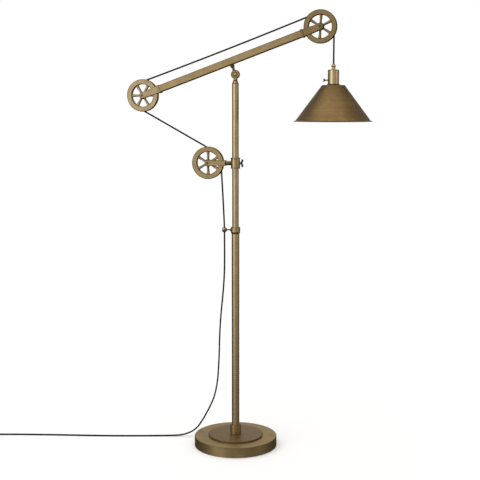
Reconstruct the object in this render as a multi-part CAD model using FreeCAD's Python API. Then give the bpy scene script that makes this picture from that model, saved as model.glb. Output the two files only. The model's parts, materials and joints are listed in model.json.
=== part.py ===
import FreeCAD, Part
import math
import os

# Adjustable arm floor lamp: a round weighted base and a two-piece pole carry a tilting square arm with a
# pulley at each end, and the black cloth cord runs over three pulleys from a hanging shade to the plug.
# Millimetres, +Z up. X runs along the arm towards the shade, -Y is the front, and the origin is the middle
# of the base's underside.

# Base
base_radius = 152.4
base_top = 36.6
cover_wall = 1.2
cover_bottom = 1.0
pad_radius = 146.0
pad_top = 2.0
weight_radius = 149.0
weight_top = 16.0
step_radius = 101.0
step_top = 42.6
collar_radius = 20.2
collar_top = 78.0

# Pole
lower_radius = 14.0
lower_bore = 12.1
lower_top = 794.0
upper_radius = 12.0
upper_bore = 10.4
upper_bottom = 715.0
upper_top = 1332.4

# Knuckle on top of the pole, and the arm above it
pivot_z = 1365.2
knuckle_radius = 15.9
knuckle_half = 6.6
knuckle_pin = 3.0
arm_angle = 20.1
arm_rise = 49.0
reach_back = 348.0
reach_front = 340.0
arm_side = 25.4
arm_wall = 1.6
fork_length = 70.0

# Pulleys and their axles
pulley_radius = 58.5
pulley_half = 8.5
rim_inner = 42.4
window_outer = 41.2
window_inner = 15.0
hub_radius = 12.0
axle_radius = 3.0
bush_radius = 4.2
running_gap = 0.04
spoke_count = 6
mid_x = -100.9
mid_z = 1049.8

# Hanging shade
grip_top = 1400.0
socket_top = 1380.0
socket_bottom = 1329.6
socket_radius = 19.8
shade_top = 1326.6
shade_wall = 1.0
shade_rim_z = 1201.0
shade_rim_radius = 140.6
holder_radius = 18.4
holder_bottom = 1292.0
mouth_depth = 36.0
thread_radius = 13.35
key_z = 1343.5

# Cord, its clip on the pole and the wound-up end
cord_radius = 3.0
cord_track = 47.5
cord_sag = 3.0
cord_tail = 20.0
clip_x = -40.9
clip_z = 807.5
clip_bend = clip_z + 31.0
coil_radius = 33.0
coil_half = 6.0
coil_low = 0.8
coil_high = 12.6
coil_x = -949.5
coil_y = -127.0
floor_heading = 192.0

# The free cord from the clip to the coil, point by point
cord_route = [
    (-40.9, 0, 797),
    (-41, 0, 765),
    (-41, 2, 705),
    (-43, 6, 640),
    (-49, 10, 570),
    (-58, 15, 495),
    (-65, 23, 420),
    (-69, 32, 345),
    (-74, 41, 275),
    (-81, 49, 215),
    (-94, 54, 160),
    (-116, 57, 112),
    (-141, 58, 66),
    (-168, 56, 26),
    (-215, 47, 5),
    (-278, 34, 3),
    (-355, 16, 3),
    (-433, -1, 3),
    (-515, -16, 3),
    (-597, -29, 3),
    (-679, -41, 3),
    (-759, -54, 3),
    (-834, -67, 3),
    (-900, -80, 3),
]

os.makedirs("parts", exist_ok=True)


def vec(x, y, z):
    return FreeCAD.Vector(x, y, z)


def upright(radius, low, high, x=0.0, y=0.0):
    """A cylinder standing along Z."""
    return Part.makeCylinder(radius, high - low, vec(x, y, low))


def crosswise(radius, low, high, x, z):
    """A cylinder lying along Y."""
    return Part.makeCylinder(radius, high - low, vec(x, low, z), vec(0, 1, 0))


def lengthwise(radius, low, high, y, z):
    """A cylinder lying along X."""
    return Part.makeCylinder(radius, high - low, vec(low, y, z), vec(1, 0, 0))


def sleeve(outer, inner, low, high, x=0.0, y=0.0):
    """A tube standing along Z."""
    return upright(outer, low, high, x, y).cut(upright(inner, low, high, x, y))


def block(x0, x1, y0, y1, z0, z1):
    return Part.makeBox(x1 - x0, y1 - y0, z1 - z0, vec(x0, y0, z0))


def turned(outline, x=0.0):
    """Turns a closed outline of (radius, height) points about the vertical line through x."""
    points = [vec(x + radius, 0, height) for radius, height in outline]
    face = Part.Face(Part.makePolygon(points + points[:1]))
    return face.revolve(vec(x, 0, 0), vec(0, 0, 1), 360)


def rounded_ends(solid, radius, heights):
    """Fillets the round edges of a turned solid at the given heights."""
    edges = [e for e in solid.Edges if is_circle(e) and at_height(e, heights)]
    return solid.makeFillet(radius, edges)


def is_circle(edge):
    return isinstance(edge.Curve, Part.Circle)


def at_height(edge, heights):
    return any(abs(edge.Curve.Center.z - height) < 0.01 for height in heights)


def skin(outline, wall):
    """Closes an open outline of (radius, height) points into a wall on its inner side."""
    inner = []
    for index, (radius, height) in enumerate(outline):
        before = outline[max(index - 1, 0)]
        after = outline[min(index + 1, len(outline) - 1)]
        normals = []
        for start, end in ((before, (radius, height)), ((radius, height), after)):
            run = math.hypot(end[0] - start[0], end[1] - start[1])
            if run > 0:
                normals.append(((end[1] - start[1]) / run, -(end[0] - start[0]) / run))
        mean_r = sum(n[0] for n in normals) / len(normals)
        mean_z = sum(n[1] for n in normals) / len(normals)
        stretch = wall / (mean_r ** 2 + mean_z ** 2)
        inner.append((radius + mean_r * stretch, height + mean_z * stretch))
    return outline + inner[::-1]


def tilted(solid):
    """Turns a piece made for a level arm about the knuckle, to the arm's resting angle."""
    placed = solid.copy()
    placed.rotate(vec(0, 0, pivot_z), vec(0, -1, 0), arm_angle)
    return placed


def arm_point(along, above):
    """The (x, z) place of a point on the resting arm, measured from the knuckle's axis."""
    angle = math.radians(arm_angle)
    x = along * math.cos(angle) - above * math.sin(angle)
    z = pivot_z + along * math.sin(angle) + above * math.cos(angle)
    return x, z


back_x, back_z = arm_point(-reach_back, arm_rise)
front_x, front_z = arm_point(reach_front, arm_rise)
drop_x = front_x + cord_track


# Base

def make_base_pad():
    return upright(pad_radius, 0, pad_top)


def make_base_weight():
    disc = upright(weight_radius, pad_top, weight_top)
    return disc.cut(upright(5.2, pad_top, weight_top)).cut(upright(15.0, pad_top, 8.0))


def make_base_cover():
    solid = upright(base_radius, cover_bottom, base_top)
    solid = rounded_ends(solid, 1.6, [base_top])
    inside = upright(base_radius - cover_wall, cover_bottom, base_top - cover_wall)
    return solid.cut(inside).cut(upright(5.2, 0, base_top + 1))


def make_base_step():
    solid = rounded_ends(upright(step_radius, base_top, step_top), 1.4, [step_top])
    return solid.cut(upright(5.2, base_top, step_top))


def make_base_spacer():
    return sleeve(11.0, 5.2, weight_top, base_top - cover_wall)


def make_base_collar():
    solid = sleeve(collar_radius, lower_radius + 0.05, step_top, collar_top)
    outer = [e for e in solid.Edges if is_circle(e) and e.Curve.Radius > collar_radius - 0.1]
    return solid.makeFillet(1.2, outer)


def make_pole_foot():
    """The threaded plug in the bottom of the lower tube, which the base bolt draws down."""
    plug = upright(lower_bore, step_top, step_top + 28)
    return plug.cut(upright(5.0, step_top, step_top + 28))


def make_base_bolt():
    shank = upright(5.0, 5.6, step_top + 24)
    head = hexagon(8.0, 2.4, 5.6)
    return shank.fuse(head).removeSplitter()


def hexagon(half_width, low, high):
    corner = half_width / math.cos(math.radians(30))
    turns = [math.radians(60 * k) for k in range(6)]
    points = [vec(corner * math.cos(t), corner * math.sin(t), low) for t in turns]
    return Part.Face(Part.makePolygon(points + points[:1])).extrude(vec(0, 0, high - low))


def make_base_washer():
    return sleeve(13.0, 5.2, 5.6, 8.0)


# Pole

def make_pole_lower():
    return sleeve(lower_radius, lower_bore, step_top, lower_top)


def make_pole_upper():
    return sleeve(upper_radius, upper_bore, upper_bottom, upper_top)


def make_clip_ring():
    """The ring over the joint of the two tubes, with the short stem that carries the cord clip."""
    low = lower_top
    high = low + 24.0
    ring = turned([(12.05, low), (14.8, low), (16.4, low + 3), (17.2, low + 7), (17.2, high - 2.5),
                   (16.4, high), (12.05, high)])
    root = Part.makeCone(6.5, 3.2, 5.5, vec(-16, 0, clip_z), vec(-1, 0, 0))
    stem = lengthwise(3.2, clip_x + 6, -16, 0, clip_z)
    solid = ring.fuse(stem.fuse(root)).removeSplitter()
    return solid.cut(upright(12.05, low, high))


def make_clip_head():
    """The round clip head, drilled through so that the cord passes straight down it."""
    head = lengthwise(9.0, clip_x - 7.6, clip_x + 7.0, 0, clip_z)
    edges = [e for e in head.Edges if is_circle(e)]
    head = head.makeFillet(1.2, edges)
    head = head.cut(lengthwise(3.2, clip_x + 6, clip_x + 7, 0, clip_z))
    return head.cut(upright(cord_radius + 0.3, clip_z - 9, clip_z + 9, clip_x, 0))


def make_pole_cap():
    """The turned cap on the upper tube: cone, bead, neck and the front half of the knuckle."""
    top = pivot_z - knuckle_radius - 0.6
    cap = turned([(0, upper_top - 18), (upper_bore, upper_top - 18), (upper_bore, upper_top),
                  (upper_radius, upper_top), (upper_radius, upper_top + 1), (8.4, upper_top + 9.4),
                  (7.2, upper_top + 10.4), (8.2, upper_top + 11.6), (8.2, upper_top + 12.8),
                  (7.6, upper_top + 13.8), (7.6, top), (0, top)])
    disc = crosswise(knuckle_radius, -knuckle_half, -0.15, 0, pivot_z)
    disc = knuckle_edges(disc, -knuckle_half)
    tongue = block(-7.0, 7.0, -knuckle_half, -0.15, top - 4, pivot_z - 8)
    solid = cap.fuse([disc, tongue]).removeSplitter()
    recess = crosswise(7.8, -knuckle_half, -knuckle_half + 1.4, 0, pivot_z)
    return solid.cut(recess).cut(crosswise(knuckle_pin, -knuckle_half, 0, 0, pivot_z))


def knuckle_edges(disc, face_y):
    """Rounds the outer face's edge of a knuckle disc."""
    edges = [e for e in disc.Edges if is_circle(e) and abs(e.Curve.Center.y - face_y) < 0.01]
    return disc.makeFillet(1.6, edges)


def make_knuckle_screw():
    """The pivot screw: its domed head shows in the front recess and its shank carries both halves."""
    front = -knuckle_half + 1.4
    shank = crosswise(knuckle_pin, front, knuckle_half + 3.6, 0, pivot_z)
    washer = crosswise(7.0, front - 0.6, front, 0, pivot_z)
    dome = Part.makeSphere(4.4, vec(0, front + 1.2, pivot_z))
    dome = dome.common(block(-5, 5, front - 4, front - 0.5, pivot_z - 5, pivot_z + 5))
    return shank.fuse([washer, dome]).removeSplitter()


def make_knuckle_nut():
    low = knuckle_half + 0.4
    solid = crosswise(6.4, low, low + 2.8, 0, pivot_z)
    edges = [e for e in solid.Edges if is_circle(e) and e.Curve.Center.y > low + 1]
    return solid.makeFillet(1.0, edges).cut(crosswise(knuckle_pin, low, low + 2.8, 0, pivot_z))


# Middle pulley's bracket

def make_bracket_sleeve():
    """The sleeve that slides on the upper tube, with its two rims, neck and screw boss."""
    low = mid_z + 0.2 - 19.5
    high = low + 39.0
    body = turned([(12.05, low), (17.0, low), (17.4, low + 0.8), (17.4, low + 3), (16.4, low + 4),
                   (16.4, high - 4), (17.4, high - 3), (17.4, high - 0.8), (17.0, high), (12.05, high)])
    neck = lengthwise(8.0, -35.0, -14.0, 0, mid_z)
    boss = lengthwise(5.2, 14.0, 19.0, 0, mid_z)
    solid = body.fuse([neck, boss]).removeSplitter()
    solid = solid.cut(upright(12.05, low, high))
    return solid.cut(lengthwise(3.0 + running_gap, 10.0, 19.0, 0, mid_z))


def make_bracket_fork():
    """The two plates that hold the middle pulley, joined by a block at the neck."""
    reach = -mid_x - 35.0
    plates = []
    for side in (-1, 1):
        y0, y1 = sorted((side * 9.4, side * 12.6))
        plates.append(bracket_plate(reach, y0, y1))
    bridge = block(mid_x + 60.0, mid_x + reach, -9.4, 9.4, mid_z - 9.9, mid_z + 9.9)
    return bore_fork(plates[0].fuse([plates[1], bridge]).removeSplitter(), mid_x, mid_z, 12.6)


def bracket_plate(reach, y0, y1):
    outline = [vec(mid_x, y0, mid_z - 8), vec(mid_x + 46, y0, mid_z - 9.4),
               vec(mid_x + reach, y0, mid_z - 9.9), vec(mid_x + reach, y0, mid_z + 9.9),
               vec(mid_x + 46, y0, mid_z + 9.4), vec(mid_x, y0, mid_z + 8)]
    plate = Part.Face(Part.makePolygon(outline + outline[:1])).extrude(vec(0, y1 - y0, 0))
    return plate.fuse(crosswise(10.4, y0, y1, mid_x, mid_z))


def bore_fork(fork, x, z, half_width):
    """Drills a fork for its axle and sinks a seat for the axle's head and nut."""
    fork = fork.cut(crosswise(axle_radius, -half_width, half_width, x, z))
    fork = fork.cut(crosswise(4.3, -half_width, -half_width + 1.2, x, z))
    return fork.cut(crosswise(4.3, half_width - 1.2, half_width, x, z))


def make_wing_screw():
    """The clamping screw with two wings that flare away from the sleeve."""
    shank = lengthwise(3.0, 12.4, 23.0, 0, mid_z)
    hub = Part.makeCone(3.0, 4.2, 5.0, vec(20.0, 0, mid_z), vec(1, 0, 0))
    wings = []
    for side in (-1, 1):
        outline = [(21.5, 0.0), (20.8, 5.2), (22.0, 9.0), (21.4, 13.4), (24.6, 13.9), (28.4, 11.6),
                   (27.6, 6.6), (25.4, 2.4), (25.2, 0.0)]
        points = [vec(x, -1.3, mid_z + side * h) for x, h in outline]
        wing = Part.Face(Part.makePolygon(points + points[:1])).extrude(vec(0, 2.6, 0))
        wings.append(wing)
    return shank.fuse([hub] + wings).removeSplitter()


# Pulleys

def make_pulley(x, z, first_spoke):
    """A grooved wheel with tapered spokes; first_spoke is the angle of one spoke above +X."""
    rim_points = [(rim_inner, -7.4), (rim_inner + 1.1, -pulley_half), (57.0, -pulley_half),
                  (pulley_radius, -7.2), (pulley_radius, -6.0), (48.2, -3.6)]
    lower = [vec(radius, height, 0) for radius, height in rim_points]
    upper = [vec(radius, -height, 0) for radius, height in rim_points[::-1]]
    wall = Part.makePolygon(upper + lower).Edges
    groove = Part.Arc(lower[-1], vec(cord_track - cord_radius - 0.3, 0, 0), upper[0]).toShape()
    face = Part.Face(Part.Wire(Part.__sortEdges__(wall + [groove])))
    rim = face.revolve(vec(0, 0, 0), vec(0, 1, 0), 360)
    web = crosswise(rim_inner + 1.0, -4.6, 4.6, 0, 0)
    for index in range(spoke_count):
        middle = first_spoke + (index + 0.5) * 360.0 / spoke_count
        web = web.cut(make_window(middle))
    hub = crosswise(hub_radius, -pulley_half, pulley_half, 0, 0)
    hub = hub.makeChamfer(0.8, [e for e in hub.Edges if is_circle(e)])
    wheel = rim.fuse([web, hub]).removeSplitter()
    wheel = wheel.cut(crosswise(bush_radius, -pulley_half, pulley_half, 0, 0))
    wheel.translate(vec(x, 0, z))
    return wheel


def make_window(middle):
    """The opening between two spokes, centred on the given angle, with rounded corners."""
    corners = []
    sides = ((-1, window_inner, 2.7), (-1, window_outer, 4.4),
             (1, window_outer, 4.4), (1, window_inner, 2.7))
    for side, radius, half in sides:
        spoke = math.radians(middle + side * 180.0 / spoke_count)
        along = math.sqrt(radius ** 2 - half ** 2)
        x = along * math.cos(spoke) + side * half * math.sin(spoke)
        z = along * math.sin(spoke) - side * half * math.cos(spoke)
        corners.append(vec(x, -5, z))
    angle = math.radians(middle)
    outer_mid = vec(window_outer * math.cos(angle), -5, window_outer * math.sin(angle))
    inner_mid = vec(window_inner * math.cos(angle), -5, window_inner * math.sin(angle))
    edges = [Part.LineSegment(corners[0], corners[1]).toShape(),
             Part.Arc(corners[1], outer_mid, corners[2]).toShape(),
             Part.LineSegment(corners[2], corners[3]).toShape(),
             Part.Arc(corners[3], inner_mid, corners[0]).toShape()]
    opening = Part.Face(Part.Wire(edges)).extrude(vec(0, 10, 0))
    uprights = [e for e in opening.Edges if abs(e.tangentAt(e.FirstParameter).y) > 0.99]
    return opening.makeFillet(2.6, uprights)


def make_bush(x, z):
    outer = crosswise(bush_radius, -pulley_half, pulley_half, x, z)
    return outer.cut(crosswise(axle_radius + running_gap, -pulley_half, pulley_half, x, z))


def make_axle(x, z, half_width):
    """A pulley's axle, with a round head sunk in the front plate."""
    shank = crosswise(axle_radius, -half_width + 0.4, half_width - 1.2, x, z)
    head = crosswise(3.9, -half_width + 0.4, -half_width + 1.2, x, z)
    tip = crosswise(3.9, half_width - 1.2, half_width - 0.4, x, z)
    return shank.fuse([head, tip]).removeSplitter()


# Arm

def make_arm_tube():
    """The square tube between the two end forks."""
    x0 = -reach_back + fork_length
    x1 = reach_front - fork_length
    z = pivot_z + arm_rise
    half = arm_side / 2
    outer = block(x0, x1, -half, half, z - half, z + half)
    outer = outer.makeFillet(1.8, [e for e in outer.Edges if runs_along_x(e)])
    half = half - arm_wall
    return tilted(outer.cut(block(x0, x1, -half, half, z - half, z + half)))


def runs_along_x(edge):
    return abs(edge.tangentAt(edge.FirstParameter).x) > 0.99


def make_arm_fork(centre, towards):
    """An end fork: two tapered plates on the pulley's hub, a block, and a tenon inside the arm tube."""
    z = pivot_z + arm_rise
    half = 13.0
    hub_end = 10.5
    slope = math.atan2(half, 50.0) + math.acos(hub_end / math.hypot(50.0, half))
    touch_x = hub_end * math.cos(slope)
    touch_z = hub_end * math.sin(slope)
    plates = []
    for y0, y1 in ((-13.0, -9.4), (9.4, 13.0)):
        hub = crosswise(hub_end, y0, y1, centre, z)
        outline = [(touch_x, -touch_z), (50.0, -half), (fork_length, -half), (fork_length, half),
                   (50.0, half), (touch_x, touch_z)]
        points = [vec(centre + towards * x, y0, z + h) for x, h in outline]
        plate = Part.Face(Part.makePolygon(points + points[:1])).extrude(vec(0, y1 - y0, 0))
        plates.append(plate.fuse(hub))
    ends = sorted((centre + towards * 60.5, centre + towards * fork_length))
    bridge = block(ends[0], ends[1], -9.5, 9.5, z - half, z + half)
    inside = arm_side / 2 - arm_wall
    ends = sorted((centre + towards * fork_length, centre + towards * (fork_length + 24)))
    tenon = block(ends[0], ends[1], -inside, inside, z - inside, z + inside)
    fork = plates[0].fuse([plates[1], bridge, tenon]).removeSplitter()
    return tilted(bore_fork(fork, centre, z, half))


def make_arm_ring(centre, towards):
    """The square ring that covers the joint of fork and tube."""
    z = pivot_z + arm_rise
    ends = sorted((centre + towards * 62.0, centre + towards * fork_length))
    outer = block(ends[0], ends[1], -14.7, 14.7, z - 14.7, z + 14.7)
    outer = outer.makeFillet(1.2, [e for e in outer.Edges if runs_along_x(e)])
    return tilted(outer.cut(block(ends[0], ends[1], -13.0, 13.0, z - 13.0, z + 13.0)))


def make_arm_stem():
    """The turned stem under the arm, with a bulb at the tube and the back half of the knuckle."""
    under = arm_rise - arm_side / 2
    start = knuckle_radius + 0.6
    stem = turned([(0, pivot_z + start), (5.4, pivot_z + start), (5.4, pivot_z + under - 10.6),
                   (7.0, pivot_z + under - 9.4), (8.1, pivot_z + under - 6.0),
                  (8.1, pivot_z + under - 3.4),
                   (7.0, pivot_z + under - 0.8), (7.0, pivot_z + under), (0, pivot_z + under)])
    disc = crosswise(knuckle_radius, 0.15, knuckle_half, 0, pivot_z)
    disc = knuckle_edges(disc, knuckle_half)
    tongue = block(-5.4, 5.4, 0.15, 5.0, pivot_z + 8, pivot_z + start + 5)
    solid = stem.fuse([disc, tongue]).removeSplitter()
    solid = solid.cut(crosswise(knuckle_pin + running_gap, 0, knuckle_half, 0, pivot_z))
    return tilted(solid)


def axle_place(end):
    return (back_x, back_z) if end == "back" else (front_x, front_z)


def make_arm_axle(end):
    """An end pulley's axle, turned with the arm."""
    x, z = axle_place(end)
    return make_axle(x, z, 13.0)


# Hanging shade and its lampholder

def make_cord_grip():
    """The turned nipple that grips the cord on top of the socket."""
    solid = turned([(0, socket_top), (6.0, socket_top), (6.0, socket_top + 2.6), (7.6, socket_top + 4.6),
                    (8.3, socket_top + 8.4), (7.4, socket_top + 12.6), (5.0, socket_top + 16.8),
                    (4.6, socket_top + 18.4), (4.9, grip_top), (0, grip_top)], drop_x)
    return solid.cut(upright(cord_radius + 0.1, socket_top + 6, grip_top, drop_x))


def make_socket_cap():
    """The metal cup over the lampholder."""
    solid = rounded_ends(upright(socket_radius, socket_bottom, socket_top, drop_x), 3.4, [socket_top])
    inside = upright(socket_radius - 1.0, socket_bottom, socket_top - 1.4, drop_x)
    hole = lengthwise(3.2, drop_x - socket_radius - 1, drop_x, 0, key_z)
    return solid.cut(inside).cut(hole)


def make_lampholder():
    """The moulded insulator inside the cup, with its mouth below the shade's top."""
    solid = upright(holder_radius, holder_bottom, socket_top - 2.0, drop_x)
    mouth = upright(thread_radius + 0.5, holder_bottom, holder_bottom + mouth_depth, drop_x)
    hole = lengthwise(3.2, drop_x - socket_radius - 1, drop_x - 8, 0, key_z)
    return solid.cut(mouth).cut(hole)


def make_thread_shell():
    """The metal screw shell that takes the bulb's cap."""
    return sleeve(thread_radius + 0.5, thread_radius, holder_bottom + 1, holder_bottom + 29, drop_x)


def make_contact():
    """The sprung middle contact at the top of the holder's mouth, above the screw shell."""
    high = holder_bottom + mouth_depth
    leg = block(drop_x - 2.5, drop_x + 2.5, -5.0, -4.2, high - 4.6, high)
    tongue = block(drop_x - 2.5, drop_x + 2.5, -5.0, 5.0, high - 5.4, high - 4.6)
    return leg.fuse(tongue).removeSplitter()


def make_shade_collar():
    return sleeve(22.8, holder_radius + 0.1, shade_top, socket_bottom, drop_x)


def make_shade():
    """The spun cone with a flat top and a small flared lip."""
    outline = [(holder_radius + 0.1, shade_top), (39.0, shade_top), (40.2, shade_top - 1.2),
               (131.0, shade_rim_z + 4.2), (134.6, shade_rim_z + 1.2), (shade_rim_radius, shade_rim_z)]
    return turned(skin(outline, shade_wall), drop_x)


def make_shade_ring():
    """The ring screwed up under the shade's top."""
    high = shade_top - shade_wall
    return turned([(holder_radius + 0.1, high), (24.0, high), (24.0, high - 2.0), (21.6, high - 3.0),
                   (21.6, high - 8.0), (holder_radius + 0.1, high - 8.0)], drop_x)


def make_key_bush():
    x = drop_x - socket_radius
    return lengthwise(3.1, x - 2.4, x + 3.0, 0, key_z).cut(lengthwise(1.6, x - 2.4, x + 3.0, 0, key_z))


def make_switch_key():
    """The flared thumb piece on a thin stem that works the switch."""
    x = drop_x - socket_radius
    stem = lengthwise(1.5, x - 9.0, x + 3.0, 0, key_z)
    neck = Part.makeCone(1.9, 1.5, 3.0, vec(x - 9.4, 0, key_z), vec(1, 0, 0))
    outline = [(-9.0, 1.6), (-11.4, 2.6), (-14.6, 6.3), (-15.6, 5.4), (-13.8, 0.0)]
    upper = [vec(x + along, -1.2, key_z + height) for along, height in outline]
    lower = [vec(x + along, -1.2, key_z - height) for along, height in outline[-2::-1]]
    grip = Part.Face(Part.makePolygon(upper + lower + upper[:1])).extrude(vec(0, 2.4, 0))
    return stem.fuse([neck, grip]).removeSplitter()


# Cord over the pulleys

def on_circle(x, z, radius, degrees):
    angle = math.radians(degrees)
    return vec(x + radius * math.cos(angle), 0, z + radius * math.sin(angle))


def bend(x, z, radius, start, end):
    """An arc in the arm's plane, from one angle to another about (x, z)."""
    points = [on_circle(x, z, radius, a) for a in (start, (start + end) / 2, end)]
    return Part.Arc(points[0], points[1], points[2]).toShape()


def straight(start, end):
    return Part.LineSegment(start, end).toShape()


def sweep(edges):
    """Carries the cord's round section along a wire of tangent lines and arcs."""
    path = Part.Wire(edges)
    first = edges[0]
    start = first.valueAt(first.FirstParameter)
    ahead = first.tangentAt(first.FirstParameter)
    section = Part.Wire([Part.makeCircle(cord_radius, start, ahead)])
    shell = Part.BRepOffsetAPI.MakePipeShell(path)
    shell.add(section)
    shell.build()
    shell.makeSolid()
    return shell.shape()


def span_line():
    """The tight stretch from under the back pulley to over the middle one: heading and both ends."""
    gap_x = mid_x - back_x
    gap_z = mid_z - back_z
    apart = math.hypot(gap_x, gap_z)
    heading = math.degrees(math.atan2(gap_z, gap_x) + math.asin(2 * cord_track / apart))
    start = on_circle(back_x, back_z, cord_track, heading - 90)
    end = on_circle(mid_x, mid_z, cord_track, heading + 90)
    return heading, start, end


def make_cord_arm():
    """Along the top of the arm with a slight sag, round the back pulley, to just short of the span."""
    half = (reach_back + reach_front) / 2
    rise = (half ** 2 - cord_sag ** 2) / (2 * cord_sag)
    lean = math.degrees(math.atan2(half, rise))
    heading, start, end = span_line()
    top = on_circle(front_x, front_z, cord_track, 90 + arm_angle + lean)
    low_x, low_z = arm_point((reach_front - reach_back) / 2, arm_rise + cord_track - cord_sag)
    back = on_circle(back_x, back_z, cord_track, 90 + arm_angle - lean)
    along = Part.Arc(top, vec(low_x, 0, low_z), back).toShape()
    around = bend(back_x, back_z, cord_track, 90 + arm_angle - lean, heading + 270)
    ahead = (end - start).normalize()
    return sweep([along, around, straight(start, start + ahead * cord_tail)])


def make_cord_over():
    """The bend over the front pulley, from the arm's top to the cord's hanging side."""
    half = (reach_back + reach_front) / 2
    lean = math.degrees(math.atan2(half, (half ** 2 - cord_sag ** 2) / (2 * cord_sag)))
    return sweep([bend(front_x, front_z, cord_track, 90 + arm_angle + lean, 0)])


def make_cord_drop():
    return upright(cord_radius, grip_top - 8, front_z, drop_x)


def make_cord_span(first, last):
    """Part of the tight stretch, between two distances from its upper end."""
    heading, start, end = span_line()
    ahead = (end - start).normalize()
    if last is None:
        last = (end - start).Length
    return sweep([straight(start + ahead * first, start + ahead * last)])


def clip_tangent():
    """The angle at which the cord leaves the middle pulley for the bend above the clip."""
    gap_x = clip_x - mid_x
    gap_z = clip_bend - mid_z
    apart = math.hypot(gap_x, gap_z)
    return math.degrees(math.atan2(gap_z, gap_x) + math.acos(cord_track / apart))


def make_cord_mid():
    heading, start, end = span_line()
    return sweep([bend(mid_x, mid_z, cord_track, heading + 90, clip_tangent())])


def make_cord_pole():
    """From the middle pulley straight down to the clip and through it."""
    first = on_circle(mid_x, mid_z, cord_track, clip_tangent())
    return sweep(rounded_route([first, vec(clip_x, 0, clip_bend), vec(*cord_route[0])]))


def rounded_route(points, report=None):
    """Straight runs joined by tangent arcs, each as large as its two runs allow."""
    edges = []
    here = points[0]
    for before, corner, after in zip(points, points[1:], points[2:]):
        back = (before - corner).normalize()
        ahead = (after - corner).normalize()
        shorter = min((before - corner).Length, (after - corner).Length)
        turn = math.pi - back.getAngle(ahead)
        cut = 0.45 * shorter
        radius = cut / math.tan(turn / 2)
        middle = (back + ahead).normalize()
        centre = corner + middle * (radius / math.cos(turn / 2))
        start = corner + back * cut
        end = corner + ahead * cut
        edges.append(straight(here, start))
        edges.append(Part.Arc(start, centre - middle * radius, end).toShape())
        here = end
        if report is not None:
            report.append(radius)
    edges.append(straight(here, points[-1]))
    return edges


# Free cord, coil and plug

def heading_vector(length):
    angle = math.radians(floor_heading)
    return vec(length * math.cos(angle), length * math.sin(angle), 0)


def coil_edge(radius, height):
    """The point of the coil's turns where the cord arrives and later leaves, both along the heading."""
    side = math.radians(floor_heading - 90)
    return vec(coil_x + radius * math.cos(side), coil_y + radius * math.sin(side), height)


def make_cord_free():
    points = [vec(*point) for point in cord_route]
    points.append(coil_edge(coil_radius + 3, coil_low + cord_radius))
    radii = []
    edges = rounded_route(points, radii)
    solid = sweep(edges)
    length = sum(edge.Length for edge in edges)
    section = math.pi * cord_radius ** 2
    print("cord radii", [round(radius) for radius in radii])
    print("cord length", round(length), "volume ratio", round(solid.Volume / section / length, 4))
    return solid


def make_cord_coil():
    outer = sleeve(coil_radius + coil_half, coil_radius - coil_half, coil_low, coil_high, coil_x, coil_y)
    return outer.makeFillet(2.4, [e for e in outer.Edges if is_circle(e)])


def make_coil_tie():
    """The strap round the bundle of turns, on the side away from the plug."""
    side = math.radians(floor_heading + 90)
    x = coil_x + coil_radius * math.cos(side)
    y = coil_y + coil_radius * math.sin(side)
    reach = coil_half + 1.0
    outer = block(x - 5, x + 5, y - reach, y + reach, coil_low - 0.7, coil_high + 0.8)
    turns = sleeve(coil_radius + coil_half + 0.1, coil_radius - coil_half - 0.1, coil_low - 0.05,
                   coil_high + 0.1, coil_x, coil_y)
    return outer.cut(turns)


def plug_frame(solid):
    """Turns and moves a piece made along +X from the tail's end to the cord's heading."""
    placed = solid.copy()
    placed.rotate(vec(0, 0, 0), vec(0, 0, 1), floor_heading)
    placed.translate(tail_end())
    return placed


def tail_end():
    return coil_edge(coil_radius + 3, 0) + heading_vector(30.0)


def make_cord_tail():
    """The last short stretch, from the top of the coil down to the plug."""
    start = coil_edge(coil_radius + 3, coil_high - cord_radius)
    end = tail_end() + vec(0, 0, 7.0)
    first = start + heading_vector(10.0)
    second = end - heading_vector(9.0)
    return sweep(rounded_route([start, first, second, end + heading_vector(4.0)]))


def make_plug_body():
    """A flat two-pole plug with a tapered strain relief, lying on its broad side."""
    relief = Part.makeCone(4.0, 5.6, 20.0, vec(0, 0, 7.0), vec(1, 0, 0))
    body = block(19.0, 47.0, -12.0, 12.0, 0.4, 13.6)
    body = body.makeFillet(3.0, body.Edges)
    solid = relief.fuse(body).removeSplitter()
    return plug_frame(solid.cut(lengthwise(cord_radius + 0.05, 0, 4.0, 0, 7.0)))


def make_plug_blades():
    blades = []
    for y in (-6.35, 6.35):
        blades.append(block(47.0, 63.0, y - 0.75, y + 0.75, 3.8, 10.2))
    return plug_frame(Part.makeCompound(blades))


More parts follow.
